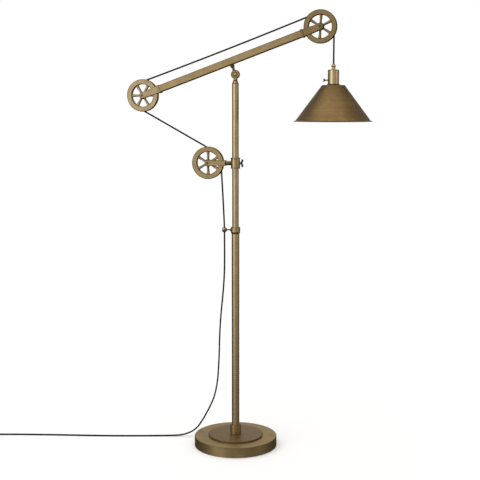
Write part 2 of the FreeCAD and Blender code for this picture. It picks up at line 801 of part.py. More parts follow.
pieces = {
    "base_pad": make_base_pad(),
    "base_weight": make_base_weight(),
    "base_cover": make_base_cover(),
    "base_step": make_base_step(),
    "base_spacer": make_base_spacer(),
    "base_collar": make_base_collar(),
    "base_bolt": make_base_bolt(),
    "base_washer": make_base_washer(),
    "pole_foot": make_pole_foot(),
    "pole_lower": make_pole_lower(),
    "pole_upper": make_pole_upper(),
    "clip_ring": make_clip_ring(),
    "clip_head": make_clip_head(),
    "pole_cap": make_pole_cap(),
    "knuckle_screw": make_knuckle_screw(),
    "knuckle_nut": make_knuckle_nut(),
    "bracket_sleeve": make_bracket_sleeve(),
    "bracket_fork": make_bracket_fork(),
    "bracket_axle": make_axle(mid_x, mid_z, 12.6),
    "wing_screw": make_wing_screw(),
    "pulley_back": make_pulley(back_x, back_z, 1.0),
    "pulley_front": make_pulley(front_x, front_z, 27.0),
    "pulley_mid": make_pulley(mid_x, mid_z, 30.0),
    "bush_back": make_bush(back_x, back_z),
    "bush_front": make_bush(front_x, front_z),
    "bush_mid": make_bush(mid_x, mid_z),
    "arm_tube": make_arm_tube(),
    "arm_fork_back": make_arm_fork(-reach_back, 1),
    "arm_fork_front": make_arm_fork(reach_front, -1),
    "arm_ring_back": make_arm_ring(-reach_back, 1),
    "arm_ring_front": make_arm_ring(reach_front, -1),
    "arm_axle_back": make_arm_axle("back"),
    "arm_axle_front": make_arm_axle("front"),
    "arm_stem": make_arm_stem(),
    "cord_grip": make_cord_grip(),
    "socket_cap": make_socket_cap(),
    "lampholder": make_lampholder(),
    "thread_shell": make_thread_shell(),
    "middle_contact": make_contact(),
    "shade_collar": make_shade_collar(),
    "shade": make_shade(),
    "shade_ring": make_shade_ring(),
    "key_bush": make_key_bush(),
    "switch_key": make_switch_key(),
    "cord_arm": make_cord_arm(),
    "cord_over": make_cord_over(),
    "cord_drop": make_cord_drop(),
    "cord_span_end": make_cord_span(cord_tail, cord_tail + 60),
    "cord_span": make_cord_span(cord_tail + 60, None),
    "cord_mid": make_cord_mid(),
    "cord_pole": make_cord_pole(),
    "cord_free": make_cord_free(),
    "cord_coil": make_cord_coil(),
    "coil_tie": make_coil_tie(),
    "cord_tail": make_cord_tail(),
    "plug_body": make_plug_body(),
    "plug_blades": make_plug_blades(),
}

for name, shape in pieces.items():
    shape.exportStep("parts/" + name + ".step")
print(len(pieces), "pieces")
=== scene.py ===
import json
import bmesh
import bpy
import numpy as np
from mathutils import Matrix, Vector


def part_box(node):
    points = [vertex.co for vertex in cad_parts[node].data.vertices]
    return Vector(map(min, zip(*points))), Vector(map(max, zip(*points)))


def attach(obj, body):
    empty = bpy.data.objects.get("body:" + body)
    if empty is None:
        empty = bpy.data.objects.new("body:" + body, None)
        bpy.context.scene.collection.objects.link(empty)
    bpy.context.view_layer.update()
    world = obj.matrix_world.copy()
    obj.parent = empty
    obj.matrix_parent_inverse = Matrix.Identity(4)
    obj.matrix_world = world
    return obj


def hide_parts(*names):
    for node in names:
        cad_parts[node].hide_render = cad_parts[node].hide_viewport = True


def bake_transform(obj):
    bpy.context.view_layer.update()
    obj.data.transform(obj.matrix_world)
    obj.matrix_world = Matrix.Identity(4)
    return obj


# An adjustable arm floor lamp: weighted base, two-piece pole, tilting square arm with a pulley at each end,
# a third pulley on the pole, a hanging spun shade, and one black cloth cord over them all. Metres.
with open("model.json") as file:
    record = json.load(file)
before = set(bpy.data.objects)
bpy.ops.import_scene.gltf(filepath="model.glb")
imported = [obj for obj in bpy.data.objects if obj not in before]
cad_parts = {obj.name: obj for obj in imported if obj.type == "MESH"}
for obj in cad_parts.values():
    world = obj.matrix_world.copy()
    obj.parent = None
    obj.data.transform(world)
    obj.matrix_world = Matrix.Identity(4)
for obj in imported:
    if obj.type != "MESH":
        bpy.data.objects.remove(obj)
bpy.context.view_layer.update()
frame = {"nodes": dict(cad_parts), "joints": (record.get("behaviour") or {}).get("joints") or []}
print("frame loaded,", len(frame["nodes"]), "nodes")


# Places read from the frame

def jointPlace(name):
    found = [joint for joint in frame["joints"] if joint["name"] == name]
    return np.array(found[0]["pos_m"], float)


def nodeBox(name):
    low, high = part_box(name)
    return np.array(low), np.array(high)


def unit(vectors):
    # each vector divided by its length
    vectors = np.asarray(vectors, float)
    return vectors / np.linalg.norm(vectors, axis=-1, keepdims=True)


knuckle = jointPlace("arm_tilt")
backAxle = jointPlace("back_pulley_turn")
frontAxle = jointPlace("front_pulley_turn")
midAxle = jointPlace("middle_pulley_turn")
dropTop = jointPlace("pendant_swing")
track = dropTop[0] - frontAxle[0]  # radius of the cord's middle line round a pulley
along = unit(frontAxle - backAxle)  # the arm's own three directions at rest
across = np.array([0.0, 1.0, 0.0])
above = np.cross(along, across)
upward = np.array([0.0, 0.0, 1.0])
rightward = np.array([1.0, 0.0, 0.0])
poleRadius, _, poleTop = nodeBox("pole_upper")[1]


# Camera, floor and light

viewpoint = {"place": (0.7556, -3.5547, 1.2645), "lookDown": 7.74, "turnLeft": 11.742, "lens": 75.6}


def aimCamera():
    eye = bpy.data.objects.new("camera", bpy.data.cameras.new("camera"))
    bpy.context.scene.collection.objects.link(eye)
    eye.location = viewpoint["place"]
    eye.rotation_euler = (np.radians(90 - viewpoint["lookDown"]), 0, np.radians(viewpoint["turnLeft"]))
    eye.data.lens = viewpoint["lens"]
    eye.data.sensor_width = 36
    bpy.context.scene.camera = eye
    print("camera aimed")


aimCamera()


def addNode(tree, kind, inputs=None, **settings):
    # one shader node with its settings, each input given as a value or as another node's output
    made = tree.nodes.new("ShaderNode" + kind)
    for key, value in settings.items():
        setattr(made, key, value)
    for key, value in (inputs or {}).items():
        socket = made.inputs[key]
        if isinstance(value, bpy.types.NodeSocket):
            tree.links.new(value, socket)
        else:
            socket.default_value = value
    return made


def mathNode(tree, operation, *values):
    return addNode(tree, "Math", dict(enumerate(values)), operation=operation).outputs[0]


def times(tree, first, second):
    return mathNode(tree, "MULTIPLY", first, second)


def plus(tree, first, second):
    return mathNode(tree, "ADD", first, second)


def dotNode(tree, vector, heading):
    return addNode(tree, "VectorMath", {0: vector, 1: heading}, operation="DOT_PRODUCT").outputs["Value"]


def mapNode(tree, value, low, high, toLow=0.0, toHigh=1.0, curve="LINEAR"):
    # the run from low to high taken to toLow and toHigh, held at both ends
    return addNode(tree, "MapRange", {"Value": value, "From Min": low, "From Max": high, "To Min": toLow,
        "To Max": toHigh}, interpolation_type=curve).outputs[0]


def noiseNode(tree, place, scale, detail, rough=0.5):
    return addNode(tree, "TexNoise", {"Vector": place, "Scale": scale, "Detail": detail,
        "Roughness": rough}).outputs[0]


def mixNode(tree, share, first, second, blend="MIX"):
    # two colours, each a triple or a node's output
    first, second = [(*tone, 1) if isinstance(tone, tuple) else tone for tone in (first, second)]
    return addNode(tree, "MixRGB", {0: share, 1: first, 2: second}, blend_type=blend).outputs[0]


studio = {
    "fill": 0.34,
    "lobes": [  # direction, half width in degrees, brightness
        ((-0.574, -0.819, 0.0), 34, 1.7),
        ((0.3, -0.88, -0.36), 34, 0.8),
        ((0.974, -0.225, 0.0), 30, 0.58),
        ((0.0, 0.1, 1.0), 60, 0.5),
        ((-0.2, 0.93, 0.36), 34, 0.14),
    ],
    "behind": (-0.18, 0.97, 0.0), "backDark": 0.58,  # the part of the room that darkens, and by how much
    "behindRun": (0.0, 0.8), "levelRun": (0.05, 0.24),  # its ends, across and in height
    "lowDark": 0.22, "highBright": 1.15, "lowRun": (-0.34, 0.02),  # brightness below and above eye level
    "tint": (1.0, 0.985, 0.96, 1),
    "sun": 1.15, "sunAngle": 75, "sunTilt": (12, -10, 0),  # strength, softness and tilt in degrees
    "floorRadius": 2.6, "floorTone": 0.97, "floorGlow": 0.05,
}


def lightStudio():
    # plain white for the eye; reflections see a soft grey room, darker behind, with broad soft lights
    world = bpy.data.worlds.new("studio")
    bpy.context.scene.world = world
    world.use_nodes = True
    tree = world.node_tree
    tree.nodes.clear()
    direction = addNode(tree, "TexCoord").outputs["Generated"]
    total = studio["fill"]
    for heading, width, strength in studio["lobes"]:
        closeness = dotNode(tree, direction, tuple(unit(heading)))
        glow = mapNode(tree, closeness, float(np.cos(np.radians(width))), 1.0, curve="SMOOTHERSTEP")
        total = plus(tree, times(tree, glow, strength), total)
    height = addNode(tree, "SeparateXYZ", {0: direction}).outputs[2]
    behind = dotNode(tree, direction, studio["behind"])
    behind = mapNode(tree, behind, *studio["behindRun"], 0.0, studio["backDark"], "SMOOTHSTEP")
    level = mapNode(tree, height, *studio["levelRun"], 1.0, 0.0, "SMOOTHSTEP")
    total = times(tree, total, mathNode(tree, "SUBTRACT", 1.0, times(tree, behind, level)))
    low = mapNode(tree, height, *studio["lowRun"], studio["lowDark"], studio["highBright"])
    total = times(tree, total, low)
    room = addNode(tree, "Background", {"Color": studio["tint"], "Strength": total}).outputs[0]
    plain = addNode(tree, "Background", {"Color": (1, 1, 1, 1), "Strength": 1.0}).outputs[0]
    seen = addNode(tree, "LightPath").outputs["Is Camera Ray"]
    both = addNode(tree, "MixShader", {0: seen, 1: room, 2: plain}).outputs[0]
    addNode(tree, "OutputWorld", {"Surface": both})
    sun = bpy.data.objects.new("overhead", bpy.data.lights.new("overhead", "SUN"))
    bpy.context.scene.collection.objects.link(sun)
    sun.data.energy = studio["sun"]
    sun.data.angle = np.radians(studio["sunAngle"])
    sun.rotation_euler = np.radians(studio["sunTilt"])
    bpy.context.scene.view_settings.view_transform = "Standard"
    print("studio lit")


def layFloor():
    turn = np.linspace(0, 2 * np.pi, 97)[:-1]
    rim = np.stack([np.cos(turn), np.sin(turn), 0 * turn], 1) * studio["floorRadius"]
    mesh = bpy.data.meshes.new("floor")
    mesh.from_pydata(rim.tolist(), [], [list(range(len(turn)))])
    floor = bpy.data.objects.new("floor", mesh)
    bpy.context.scene.collection.objects.link(floor)
    tree = newPaint("floorPaint")
    matte = addNode(tree, "BsdfDiffuse", {"Color": (*[studio["floorTone"]] * 3, 1)}).outputs[0]
    glow = addNode(tree, "Emission", {"Color": (1, 1, 1, 1), "Strength": studio["floorGlow"]}).outputs[0]
    addNode(tree, "OutputMaterial", {"Surface": addNode(tree, "AddShader", {0: matte, 1: glow}).outputs[0]})
    mesh.materials.append(paints["floorPaint"])
    floor.visible_glossy = False
    print("floor laid")


paints = {}


def newPaint(name):
    # an empty material kept among the paints; gives its node tree
    paints[name] = bpy.data.materials.new(name)
    paints[name].use_nodes = True
    paints[name].node_tree.nodes.clear()
    return paints[name].node_tree


lightStudio()
layFloor()


# Finishes

def addShader(tree, height, bump, distance, inputs):
    relief = addNode(tree, "Bump", {"Height": height, "Strength": bump, "Distance": distance}).outputs[0]
    shader = addNode(tree, "BsdfPrincipled", {**inputs, "Normal": relief}).outputs[0]
    addNode(tree, "OutputMaterial", {"Surface": shader})


# noise per metre: two ways across the brushing and one along it, then patina clouds and fine pits
brushLook = {"round": (2600.0, 2600.0, 16.0), "along": (2200.0, 2200.0, 22.0), "cloud": 26.0, "grit": 620.0,
    # the last two: the painted shade's tone on marked edges as a share of the shadow tone, and the roughness
    # the patina adds
    "edgeShadeTone": 0.3, "patinaRough": 0.14}


def brushPlace(tree, grain, centre, turn):
    # Object coordinates moved to the piece's middle line, then squeezed so that noise draws fine lines:
    # "round" keeps distance from the line and height along it, "along" keeps the two crossways directions
    spot = addNode(tree, "TexCoord").outputs["Object"]
    moved = addNode(tree, "Mapping", {"Vector": spot, "Location": tuple(-np.array(centre))}).outputs[0]
    turned = addNode(tree, "Mapping", {"Vector": moved, "Rotation": turn}).outputs[0]
    parts = addNode(tree, "SeparateXYZ", {0: turned}).outputs
    if grain == "round":
        reach = addNode(tree, "CombineXYZ", {0: parts[0], 1: parts[1]}).outputs[0]
        reach = addNode(tree, "VectorMath", {0: reach}, operation="LENGTH").outputs["Value"]
        parts = [reach, parts[2], parts[0]]
    spread = [times(tree, part, scale) for part, scale in zip(parts, brushLook[grain])]
    return spot, addNode(tree, "CombineXYZ", dict(enumerate(spread))).outputs[0]


# Lit and shaded copies of one brass, painted light: the back end's tones are lighter, the front end's darker
# and the middle pulley's between, as light falls along the arm
brassTone = {
    "pole": (0.485, 0.362, 0.186), "cup": (0.54, 0.415, 0.24), "cupDeep": (0.42, 0.31, 0.16),
    "arm": (0.39, 0.29, 0.14), "base": (0.44, 0.318, 0.146), "step": (0.27, 0.19, 0.094),
    "deep": (0.25, 0.168, 0.078), "tan": (0.47, 0.365, 0.205), "litBrassDeep": (0.34, 0.25, 0.128),
    "shadedBrass": (0.33, 0.235, 0.11), "shadedBrassDeep": (0.215, 0.142, 0.06), "shade": (0.2, 0.13, 0.055),
    "shadeDeep": (0.13, 0.082, 0.034), "halfLitBrass": (0.42, 0.315, 0.155), "halfLitBrassDeep": (0.31, 0.22, 0.1),
    "blackened": (0.03, 0.022, 0.014), "blackest": (0.016, 0.012, 0.009), "bright": (0.66, 0.52, 0.3),
}


def brass(name, tone, shadow, rough, grain="round", centre=(0, 0, 0), turn=(0, 0, 0), bump=0.25, patina=0.55,
        edgeShade=0.75, speckle=0.25, streaks=0.14, bands=0.0):
    # brushed metal: cloudy patina between two tones, fine lines in colour, roughness and height, and painted
    # shade: a darker line wherever the piece's own "edge" attribute marks a rounded edge or a groove
    tree = newPaint(name)
    tone, shadow = brassTone[tone], brassTone[shadow]
    spot, brushed = brushPlace(tree, grain, centre, turn)
    lines = noiseNode(tree, brushed, 1.0, 3.0, 0.6)
    grit = noiseNode(tree, spot, brushLook["grit"], 2.0, 0.7)
    cloudy = mapNode(tree, noiseNode(tree, spot, brushLook["cloud"], 4.0, 0.62), 0.32, 0.72, 0.0, patina)
    streak = mapNode(tree, lines, 0.3, 0.7, 1 - streaks, 1 + streaks)
    pits = mapNode(tree, grit, 0.35, 0.68, 1 - speckle, 1 + 0.4 * speckle)
    strength = times(tree, streak, pits)
    if bands:
        wide = addNode(tree, "VectorMath", {0: brushed, 1: (0.13, 0.13, 0.3)},
            operation="MULTIPLY").outputs[0]
        wide = mapNode(tree, noiseNode(tree, wide, 1.0, 3.0), 0.3, 0.7, 1 - bands, 1 + bands)
        strength = times(tree, strength, wide)
    colour = mixNode(tree, 1.0, mixNode(tree, cloudy, tone, shadow), strength, "MULTIPLY")
    # painted shade: where the edge attribute marks, the colour is drawn towards a share of the shadow tone
    edge = addNode(tree, "Attribute", attribute_name="edge").outputs["Fac"]
    colour = mixNode(tree, times(tree, edge, edgeShade), colour, tuple(brushLook["edgeShadeTone"] * np.array(shadow)))
    rubbed = mapNode(tree, lines, 0.25, 0.75, rough - 0.07, rough + 0.08)
    rubbed = plus(tree, rubbed, times(tree, cloudy, brushLook["patinaRough"]))
    height = plus(tree, lines, times(tree, grit, 0.5))
    addShader(tree, height, bump, 0.0001, {"Base Color": colour, "Metallic": 1.0, "Roughness": rubbed})


lie = (0, np.radians(90), 0)  # turns X into Z
face = (np.radians(90), 0, 0)  # turns Y into Z
armTurn = (0, np.radians(90) + np.arctan2(along[2], along[0]), 0)
hanging = (dropTop[0], 0, 0)
brass("baseSide", "base", "deep", 0.42, patina=0.35, bump=0.12)
# painted shade: the raised step disc gets a darker copy of the base's brass
brass("baseTop", "step", "deep", 0.4, patina=0.6, speckle=0.3, bump=0.12)
brass("pole", "pole", "deep", 0.25, patina=0.3, speckle=0.08, bump=0.07, streaks=0.06)
brass("turnedUp", "pole", "deep", 0.29, patina=0.5, bump=0.12)
# painted light: the clip head gets the back end's lighter copy of the brass
brass("turnedLie", "tan", "deep", 0.32, "round", (0, 0, midAxle[2]), lie, patina=0.5, bump=0.12)
brass("knuckleFace", "arm", "deep", 0.33, "round", knuckle, face, patina=0.5, bump=0.12)
brass("armTube", "arm", "deep", 0.36, "along", knuckle, armTurn, patina=0.4, speckle=0.22, bump=0.15)
# painted light and shade: the back fork and ring get the lighter copy, the front fork and ring the darker
# one, the bracket's fork the one between
brass("fork_back", "tan", "litBrassDeep", 0.38, "along", knuckle, armTurn, patina=0.5, speckle=0.28)
brass("fork_front", "shadedBrass", "shadedBrassDeep", 0.38, "along", knuckle, armTurn, patina=0.5, speckle=0.28)
brass("bracket", "halfLitBrass", "halfLitBrassDeep", 0.38, "along", midAxle, lie, patina=0.5, speckle=0.28)
# painted highlight: the cup, its cord grip and the switch bush get a lighter copy of the brass
brass("cup", "cup", "cupDeep", 0.27, "round", hanging, patina=0.4, speckle=0.08, bump=0.08, streaks=0.07)
brass("shade", "shade", "shadeDeep", 0.42, "round", hanging, patina=0.6, bump=0.2, speckle=0.14, bands=0.13)
brass("blackened", "blackened", "blackest", 0.42, "along", patina=0.5)
brass("brightBrass", "bright", "arm", 0.22, "round", knuckle, face, patina=0.4)
# painted light and shade: the back pulley gets the lighter copy, the front pulley the darker one, the middle
# pulley the one between
brass("pulley_back", "tan", "litBrassDeep", 0.36, "round", backAxle, face, patina=0.5, speckle=0.28)
brass("pulley_front", "shadedBrass", "shadedBrassDeep", 0.36, "round", frontAxle, face, patina=0.5, speckle=0.28)
brass("pulley_mid", "halfLitBrass", "halfLitBrassDeep", 0.36, "round", midAxle, face, patina=0.6, speckle=0.28)

weave = {"strands": 14, "pitch": 0.0034, "dark": (0.0015, 0.0015, 0.0018), "light": (0.013, 0.013, 0.014)}


def cloth(name):
    # woven sleeve: two sets of slanting strands from the tube's own UV, turns round and metres along
    tree = newPaint(name)
    uv = addNode(tree, "SeparateXYZ", {0: addNode(tree, "UVMap", uv_map="UVMap").outputs[0]}).outputs
    roundTurn = times(tree, uv[0], 2 * np.pi * weave["strands"])
    runTurn = times(tree, uv[1], 2 * np.pi / weave["pitch"])
    right = mathNode(tree, "SINE", plus(tree, roundTurn, runTurn))
    left = mathNode(tree, "SINE", mathNode(tree, "SUBTRACT", roundTurn, runTurn))
    woven = mathNode(tree, "MULTIPLY_ADD", times(tree, right, left), 0.5, 0.5)
    fuzz = noiseNode(tree, addNode(tree, "TexCoord").outputs["Object"], 2200.0, 2.0)
    share = plus(tree, times(tree, woven, 0.65), times(tree, fuzz, 0.35))
    colour = mixNode(tree, share, weave["dark"], weave["light"])
    addShader(tree, plus(tree, woven, times(tree, fuzz, 0.3)), 0.6, 0.0003,
        {"Base Color": colour, "Roughness": 0.82, "Specular IOR Level": 0.3, "Sheen Weight": 0.04})


def plain(name, first, second, rough, metallic=0.0, scale=400.0, bump=0.15, spread=0.1):
    # a moulded, cast or plated surface: two close tones and a fine grain in colour, roughness and height
    tree = newPaint(name)
    spot = addNode(tree, "TexCoord").outputs["Object"]
    grain = noiseNode(tree, spot, scale, 4.0, 0.65)
    mottle = noiseNode(tree, spot, scale / 18, 2.0)
    mixed = plus(tree, times(tree, grain, 0.6), times(tree, mottle, 0.4))
    gloss = mapNode(tree, mixed, 0.3, 0.7, rough - spread, rough + spread)
    addShader(tree, grain, bump, 0.0003, {"Base Color": mixNode(tree, mixed, first, second),
        "Metallic": metallic, "Roughness": gloss})


cloth("cloth")
plain("vinyl", (0.01, 0.01, 0.011), (0.03, 0.03, 0.032), 0.46, bump=0.1)
plain("phenolic", (0.016, 0.013, 0.011), (0.042, 0.034, 0.028), 0.32, bump=0.08)
plain("iron", (0.05, 0.05, 0.052), (0.12, 0.115, 0.11), 0.62, 0.8, 260.0, 0.6)
plain("felt", (0.014, 0.014, 0.015), (0.055, 0.054, 0.052), 0.93, 0.0, 900.0, 0.9, 0.04)
plain("zinc", (0.42, 0.42, 0.43), (0.6, 0.6, 0.59), 0.3, 1.0, 300.0, 0.1)
plain("threadBrass", (0.52, 0.38, 0.17), (0.74, 0.57, 0.3), 0.24, 1.0, 300.0, 0.1)
print("finishes mixed,", len(paints))


# Shapes

def softLine(corners, closed=False, steps=5, shoulder=0.0007):
    # A line of (a, b, rounding) corners, each corner an arc tangent to its two runs. Beside each arc comes a
    # point a short step along the run, so that shading turns only there. Gives the points and an edge mark of
    # 1 on the arcs and 0 between them.
    spots = np.array(corners, float)
    count = len(spots)
    points, marks = [], []
    for index in range(count):
        here, rounding = spots[index, :2], spots[index, 2]
        back = spots[index - 1, :2] - here
        ahead = spots[(index + 1) % count, :2] - here
        shorter = min(np.linalg.norm(back), np.linalg.norm(ahead))
        back, ahead = unit(back), unit(ahead)
        turn = np.pi - np.arccos(np.clip(back @ ahead, -1, 1))
        if rounding <= 0 or turn < 0.001 or (not closed and index in (0, count - 1)):
            points.append(here[None])
            marks.append([0.0])
            continue
        cut = min(rounding * np.tan(turn / 2), 0.5 * shorter)
        radius = cut / np.tan(turn / 2)
        centre = here + unit(back + ahead) * radius / np.cos(turn / 2)
        start = here + back * cut
        angles = np.linspace(0, turn, steps + 1)[:, None]
        arc = centre + (start - centre) * np.cos(angles) - back * radius * np.sin(angles)
        step = min(shoulder, 0.3 * (shorter - 2 * cut))
        line = [arc] if step < 0.0001 else [(arc[0] + back * step)[None], arc, (arc[-1] + ahead * step)[None]]
        points += line
        marks += [[1.0] * len(part) if len(part) > 1 else [0.0] for part in line]
    points, marks = np.concatenate(points), np.concatenate(marks)
    apart = np.linalg.norm(np.roll(points, 1, 0) - points, axis=1) > 1e-6
    apart[0] |= not closed
    return points[apart], marks[apart]


def closeLoop(array):
    # the first row again at the end
    return np.concatenate([array, array[:1]])


def mirrored(corners):
    # the corners, then the same in reverse with the second measure's sign changed
    return corners + [(a, -b, bend) for a, b, bend in corners[::-1]]


def turnedPart(corners, segments=72, closed=False, centre=(0, 0, 0), axis=(0, 0, 1)):
    # centre + height x axis + radius x (cos and sin of the angle in the plane across the axis)
    line, mark = softLine(corners, closed)
    if closed:
        line, mark = closeLoop(line), closeLoop(mark)
    axis = unit(axis)
    side = unit(np.cross(axis, across if abs(axis[1]) < 0.9 else rightward))
    angle = np.linspace(0, 2 * np.pi, segments + 1)
    ray = np.cos(angle)[:, None] * side + np.sin(angle)[:, None] * np.cross(axis, side)
    points = np.array(centre, float) + line[:, 1, None, None] * axis + line[:, 0, None, None] * ray
    return {"points": points, "edge": np.broadcast_to(mark[:, None], points.shape[:2]), "uv": None}


def carriedPart(line, sections, side, ahead, edge=None, uv=None):
    # each section's (a, b) outline set across the line: point + a x side + b x (ahead x side)
    ahead = unit(ahead)
    side = unit(side - (side * ahead).sum(1, keepdims=True) * ahead)
    up = np.cross(ahead, side)
    points = line[:, None] + sections[..., :1] * side[:, None] + sections[..., 1:] * up[:, None]
    edge = np.zeros(points.shape[:2]) if edge is None else np.broadcast_to(edge, points.shape[:2])
    return {"points": points, "edge": edge, "uv": uv}


def shrink(outline, distance):
    # moves a counter-clockwise outline inwards, each point along the mean of its two runs' normals
    ahead = unit(np.roll(outline, -1, 0) - outline)
    back = unit(outline - np.roll(outline, 1, 0))
    mean = unit(ahead + back)
    inward = np.stack([-mean[:, 1], mean[:, 0]], 1)
    return outline + inward * distance / np.maximum((mean * ahead).sum(1), 0.3)[:, None]


def slabPart(corners, low, high, rounding, origin, axes, steps=3, shoulder=0.0005):
    # A flat plate: the rounded outline in axes 0 and 1, its thickness along axis 2 from low to high, and a
    # quarter-round of the given radius along both of its faces' edges
    least = rounding + shoulder + 0.0001  # a sharper corner would turn inside out when drawn in
    outline, cornerMark = softLine([(a, b, max(bend, least) if bend else 0) for a, b, bend in corners], True)
    area = np.sum(outline[:, 0] * np.roll(outline[:, 1], -1) - np.roll(outline[:, 0], -1) * outline[:, 1])
    if area < 0:
        outline, cornerMark = outline[::-1], cornerMark[::-1]
    angle = np.linspace(0, np.pi / 2, steps + 1)
    lift = rounding * (1 - np.cos(angle))
    inset = rounding * (1 - np.sin(angle))
    step = min(shoulder, 0.3 * (high - low - 2 * rounding))
    heights = np.concatenate([[low, low], low + lift, [low + rounding + step]])
    heights = np.concatenate([heights, low + high - heights[::-1]])
    insets = np.concatenate([[rounding + shoulder] * 2, inset, [0]])
    insets = np.concatenate([insets, insets[::-1]])
    marks = np.concatenate([[0, 0], np.ones(steps + 1), [0]])
    marks = np.concatenate([marks, marks[::-1]])
    rows = [shrink(outline, distance) for distance in insets]
    rows[0] = rows[-1] = np.broadcast_to(rows[1].mean(0), outline.shape)
    flat = closeLoop(np.stack(rows, 1)).transpose(1, 0, 2)
    axes = np.array(axes, float)
    points = (np.array(origin, float) + flat[..., :1] * axes[0] + flat[..., 1:] * axes[1] + heights[:, None,
        None] * axes[2])
    edge = np.maximum(marks[:, None], np.where(insets > 0, 0, 1)[:, None] * closeLoop(cornerMark)[None])
    return {"points": points, "edge": np.broadcast_to(edge, points.shape[:2]), "uv": None}


def ringOutline(radiusA, radiusB, power=2.0, count=32):
    # a superellipse: cosine and sine, each raised to 2 over the power and kept in sign
    angle = np.linspace(0, 2 * np.pi, count + 1)
    cosine, sine = np.cos(angle), np.sin(angle)
    return np.stack([radiusA * np.sign(cosine) * np.abs(cosine) ** (2 / power),
        radiusB * np.sign(sine) * np.abs(sine) ** (2 / power)], -1)


def loftPart(line, halfWidths, halfHeights, side, power, count, ahead, edge=None):
    # superellipse sections of changing size along a line, drawn in to a point at both ends
    sections = np.stack([ringOutline(a, b, power, count) for a, b in zip(halfWidths, halfHeights)])
    sections = np.concatenate([sections[:1] * 0, sections, sections[-1:] * 0])
    line = np.concatenate([line[:1], line, line[-1:]])
    if edge is not None:
        edge = np.concatenate([edge[:1], edge, edge[-1:]])
    return carriedPart(line, sections, side, np.broadcast_to(ahead, line.shape), edge)


def tubePart(line, side):
    # the cord's round tube along a line with flat ends, and a UV of turns round and metres along
    count = cordLook["around"]
    run = np.concatenate([[0], np.cumsum(np.linalg.norm(np.diff(line, axis=0), axis=1))])
    ahead = unit(np.gradient(line, axis=0))
    side = np.broadcast_to(side, line.shape)
    repeat = np.concatenate([[0], np.arange(len(line)), [len(line) - 1]])
    size = np.full(len(repeat), cordLook["radius"])
    size[[0, -1]] = 0
    sections = ringOutline(1.0, 1.0, 2.0, count)[None] * size[:, None, None]
    uv = np.stack(np.broadcast_arrays(np.linspace(0, 1, count + 1)[None], run[repeat][:, None]), -1)
    return carriedPart(line[repeat], sections, side[repeat], ahead[repeat], uv=uv)


def markPart(part, marks, keep=1.0):
    # the stronger of the part's own edge marks, kept by a share, and new ones
    part["edge"] = np.maximum(part["edge"] * keep, marks)


def putPiece(node, parts, body, paint, nodes=(), name=None):
    # the parts' grids as one mesh, doubles merged and faces turned outwards, riding on its body in place of
    # the node it is named for, or of the nodes given
    points, faces, uvs, edges, start = [], [], [], [], 0
    for part in parts:
        rows, columns = part["points"].shape[:2]
        number = np.arange(rows * columns).reshape(rows, columns) + start
        start += rows * columns
        quads = [number[:-1, :-1], number[:-1, 1:], number[1:, 1:], number[1:, :-1]]
        faces.append(np.stack(quads, -1).reshape(-1, 4))
        points.append(part["points"].reshape(-1, 3))
        edges.append(np.asarray(part["edge"], float).reshape(-1))
        uv = part["uv"]
        if uv is None:
            uv = np.stack(np.meshgrid(np.linspace(0, 1, columns), np.linspace(0, 1, rows)), -1)
        uvs.append(uv.reshape(-1, 2))
    points, faces, uvs, edges = (np.concatenate(each) for each in (points, faces, uvs, edges))
    name = name or node + "_look"
    mesh = bpy.data.meshes.new(name)
    mesh.from_pydata(points.tolist(), [], faces.tolist())
    mesh.uv_layers.new(name="UVMap").data.foreach_set("uv", uvs[faces.reshape(-1)].reshape(-1))
    mesh.attributes.new("edge", "FLOAT", "POINT").data.foreach_set("value", edges)
    work = bmesh.new()
    work.from_mesh(mesh)
    bmesh.ops.remove_doubles(work, verts=work.verts, dist=2e-6)
    bmesh.ops.dissolve_degenerate(work, edges=work.edges, dist=1e-7)
    bmesh.ops.recalc_face_normals(work, faces=work.faces)
    work.to_mesh(mesh)
    work.free()
    mesh.polygons.foreach_set("use_smooth", np.ones(len(mesh.polygons), bool))
    piece = bpy.data.objects.new(name, mesh)
    bpy.context.scene.collection.objects.link(piece)
    mesh.materials.append(paints[paint])
    if body:
        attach(piece, body)
    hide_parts(*(nodes or [node]))
    return piece


# Cords

cordLook = {"radius": 0.003, "around": 18, "sag": 0.003, "tail": 0.02, "clipBend": 0.031}

# The free cord from the clip to the coil, point by point
cordRoute = [
    (-0.0409, 0, 0.797), (-0.041, 0, 0.765), (-0.041, 0.002, 0.705), (-0.043, 0.006, 0.64),
    (-0.049, 0.01, 0.57), (-0.058, 0.015, 0.495), (-0.065, 0.023, 0.42), (-0.069, 0.032, 0.345),
    (-0.074, 0.041, 0.275), (-0.081, 0.049, 0.215), (-0.094, 0.054, 0.16), (-0.116, 0.057, 0.112),
    (-0.141, 0.058, 0.066), (-0.168, 0.056, 0.026), (-0.215, 0.047, 0.005), (-0.278, 0.034, 0.003),
    (-0.355, 0.016, 0.003), (-0.433, -0.001, 0.003), (-0.515, -0.016, 0.003), (-0.597, -0.029, 0.003),
    (-0.679, -0.041, 0.003), (-0.759, -0.054, 0.003), (-0.834, -0.067, 0.003), (-0.9, -0.08, 0.003),
]

coilLook = {"turns": 4, "perTurn": 16, "heading": 192.0, "outer": 0.036, "inner": 0.03, "low": 0.0038,
    "high": 0.0098, "bulge": 0.0023, "tailReach": 0.03, "plugHeight": 0.007}
coilMiddle = sum(nodeBox("cord_coil")) / 2 * (1, 1, 0)
floorAhead = np.array([np.cos(np.radians(coilLook["heading"])), np.sin(np.radians(coilLook["heading"])), 0])
floorSide = np.cross(floorAhead, upward)  # from the coil's middle towards the entering cord


def smoothStep(share):
    return share * share * (3 - 2 * share)


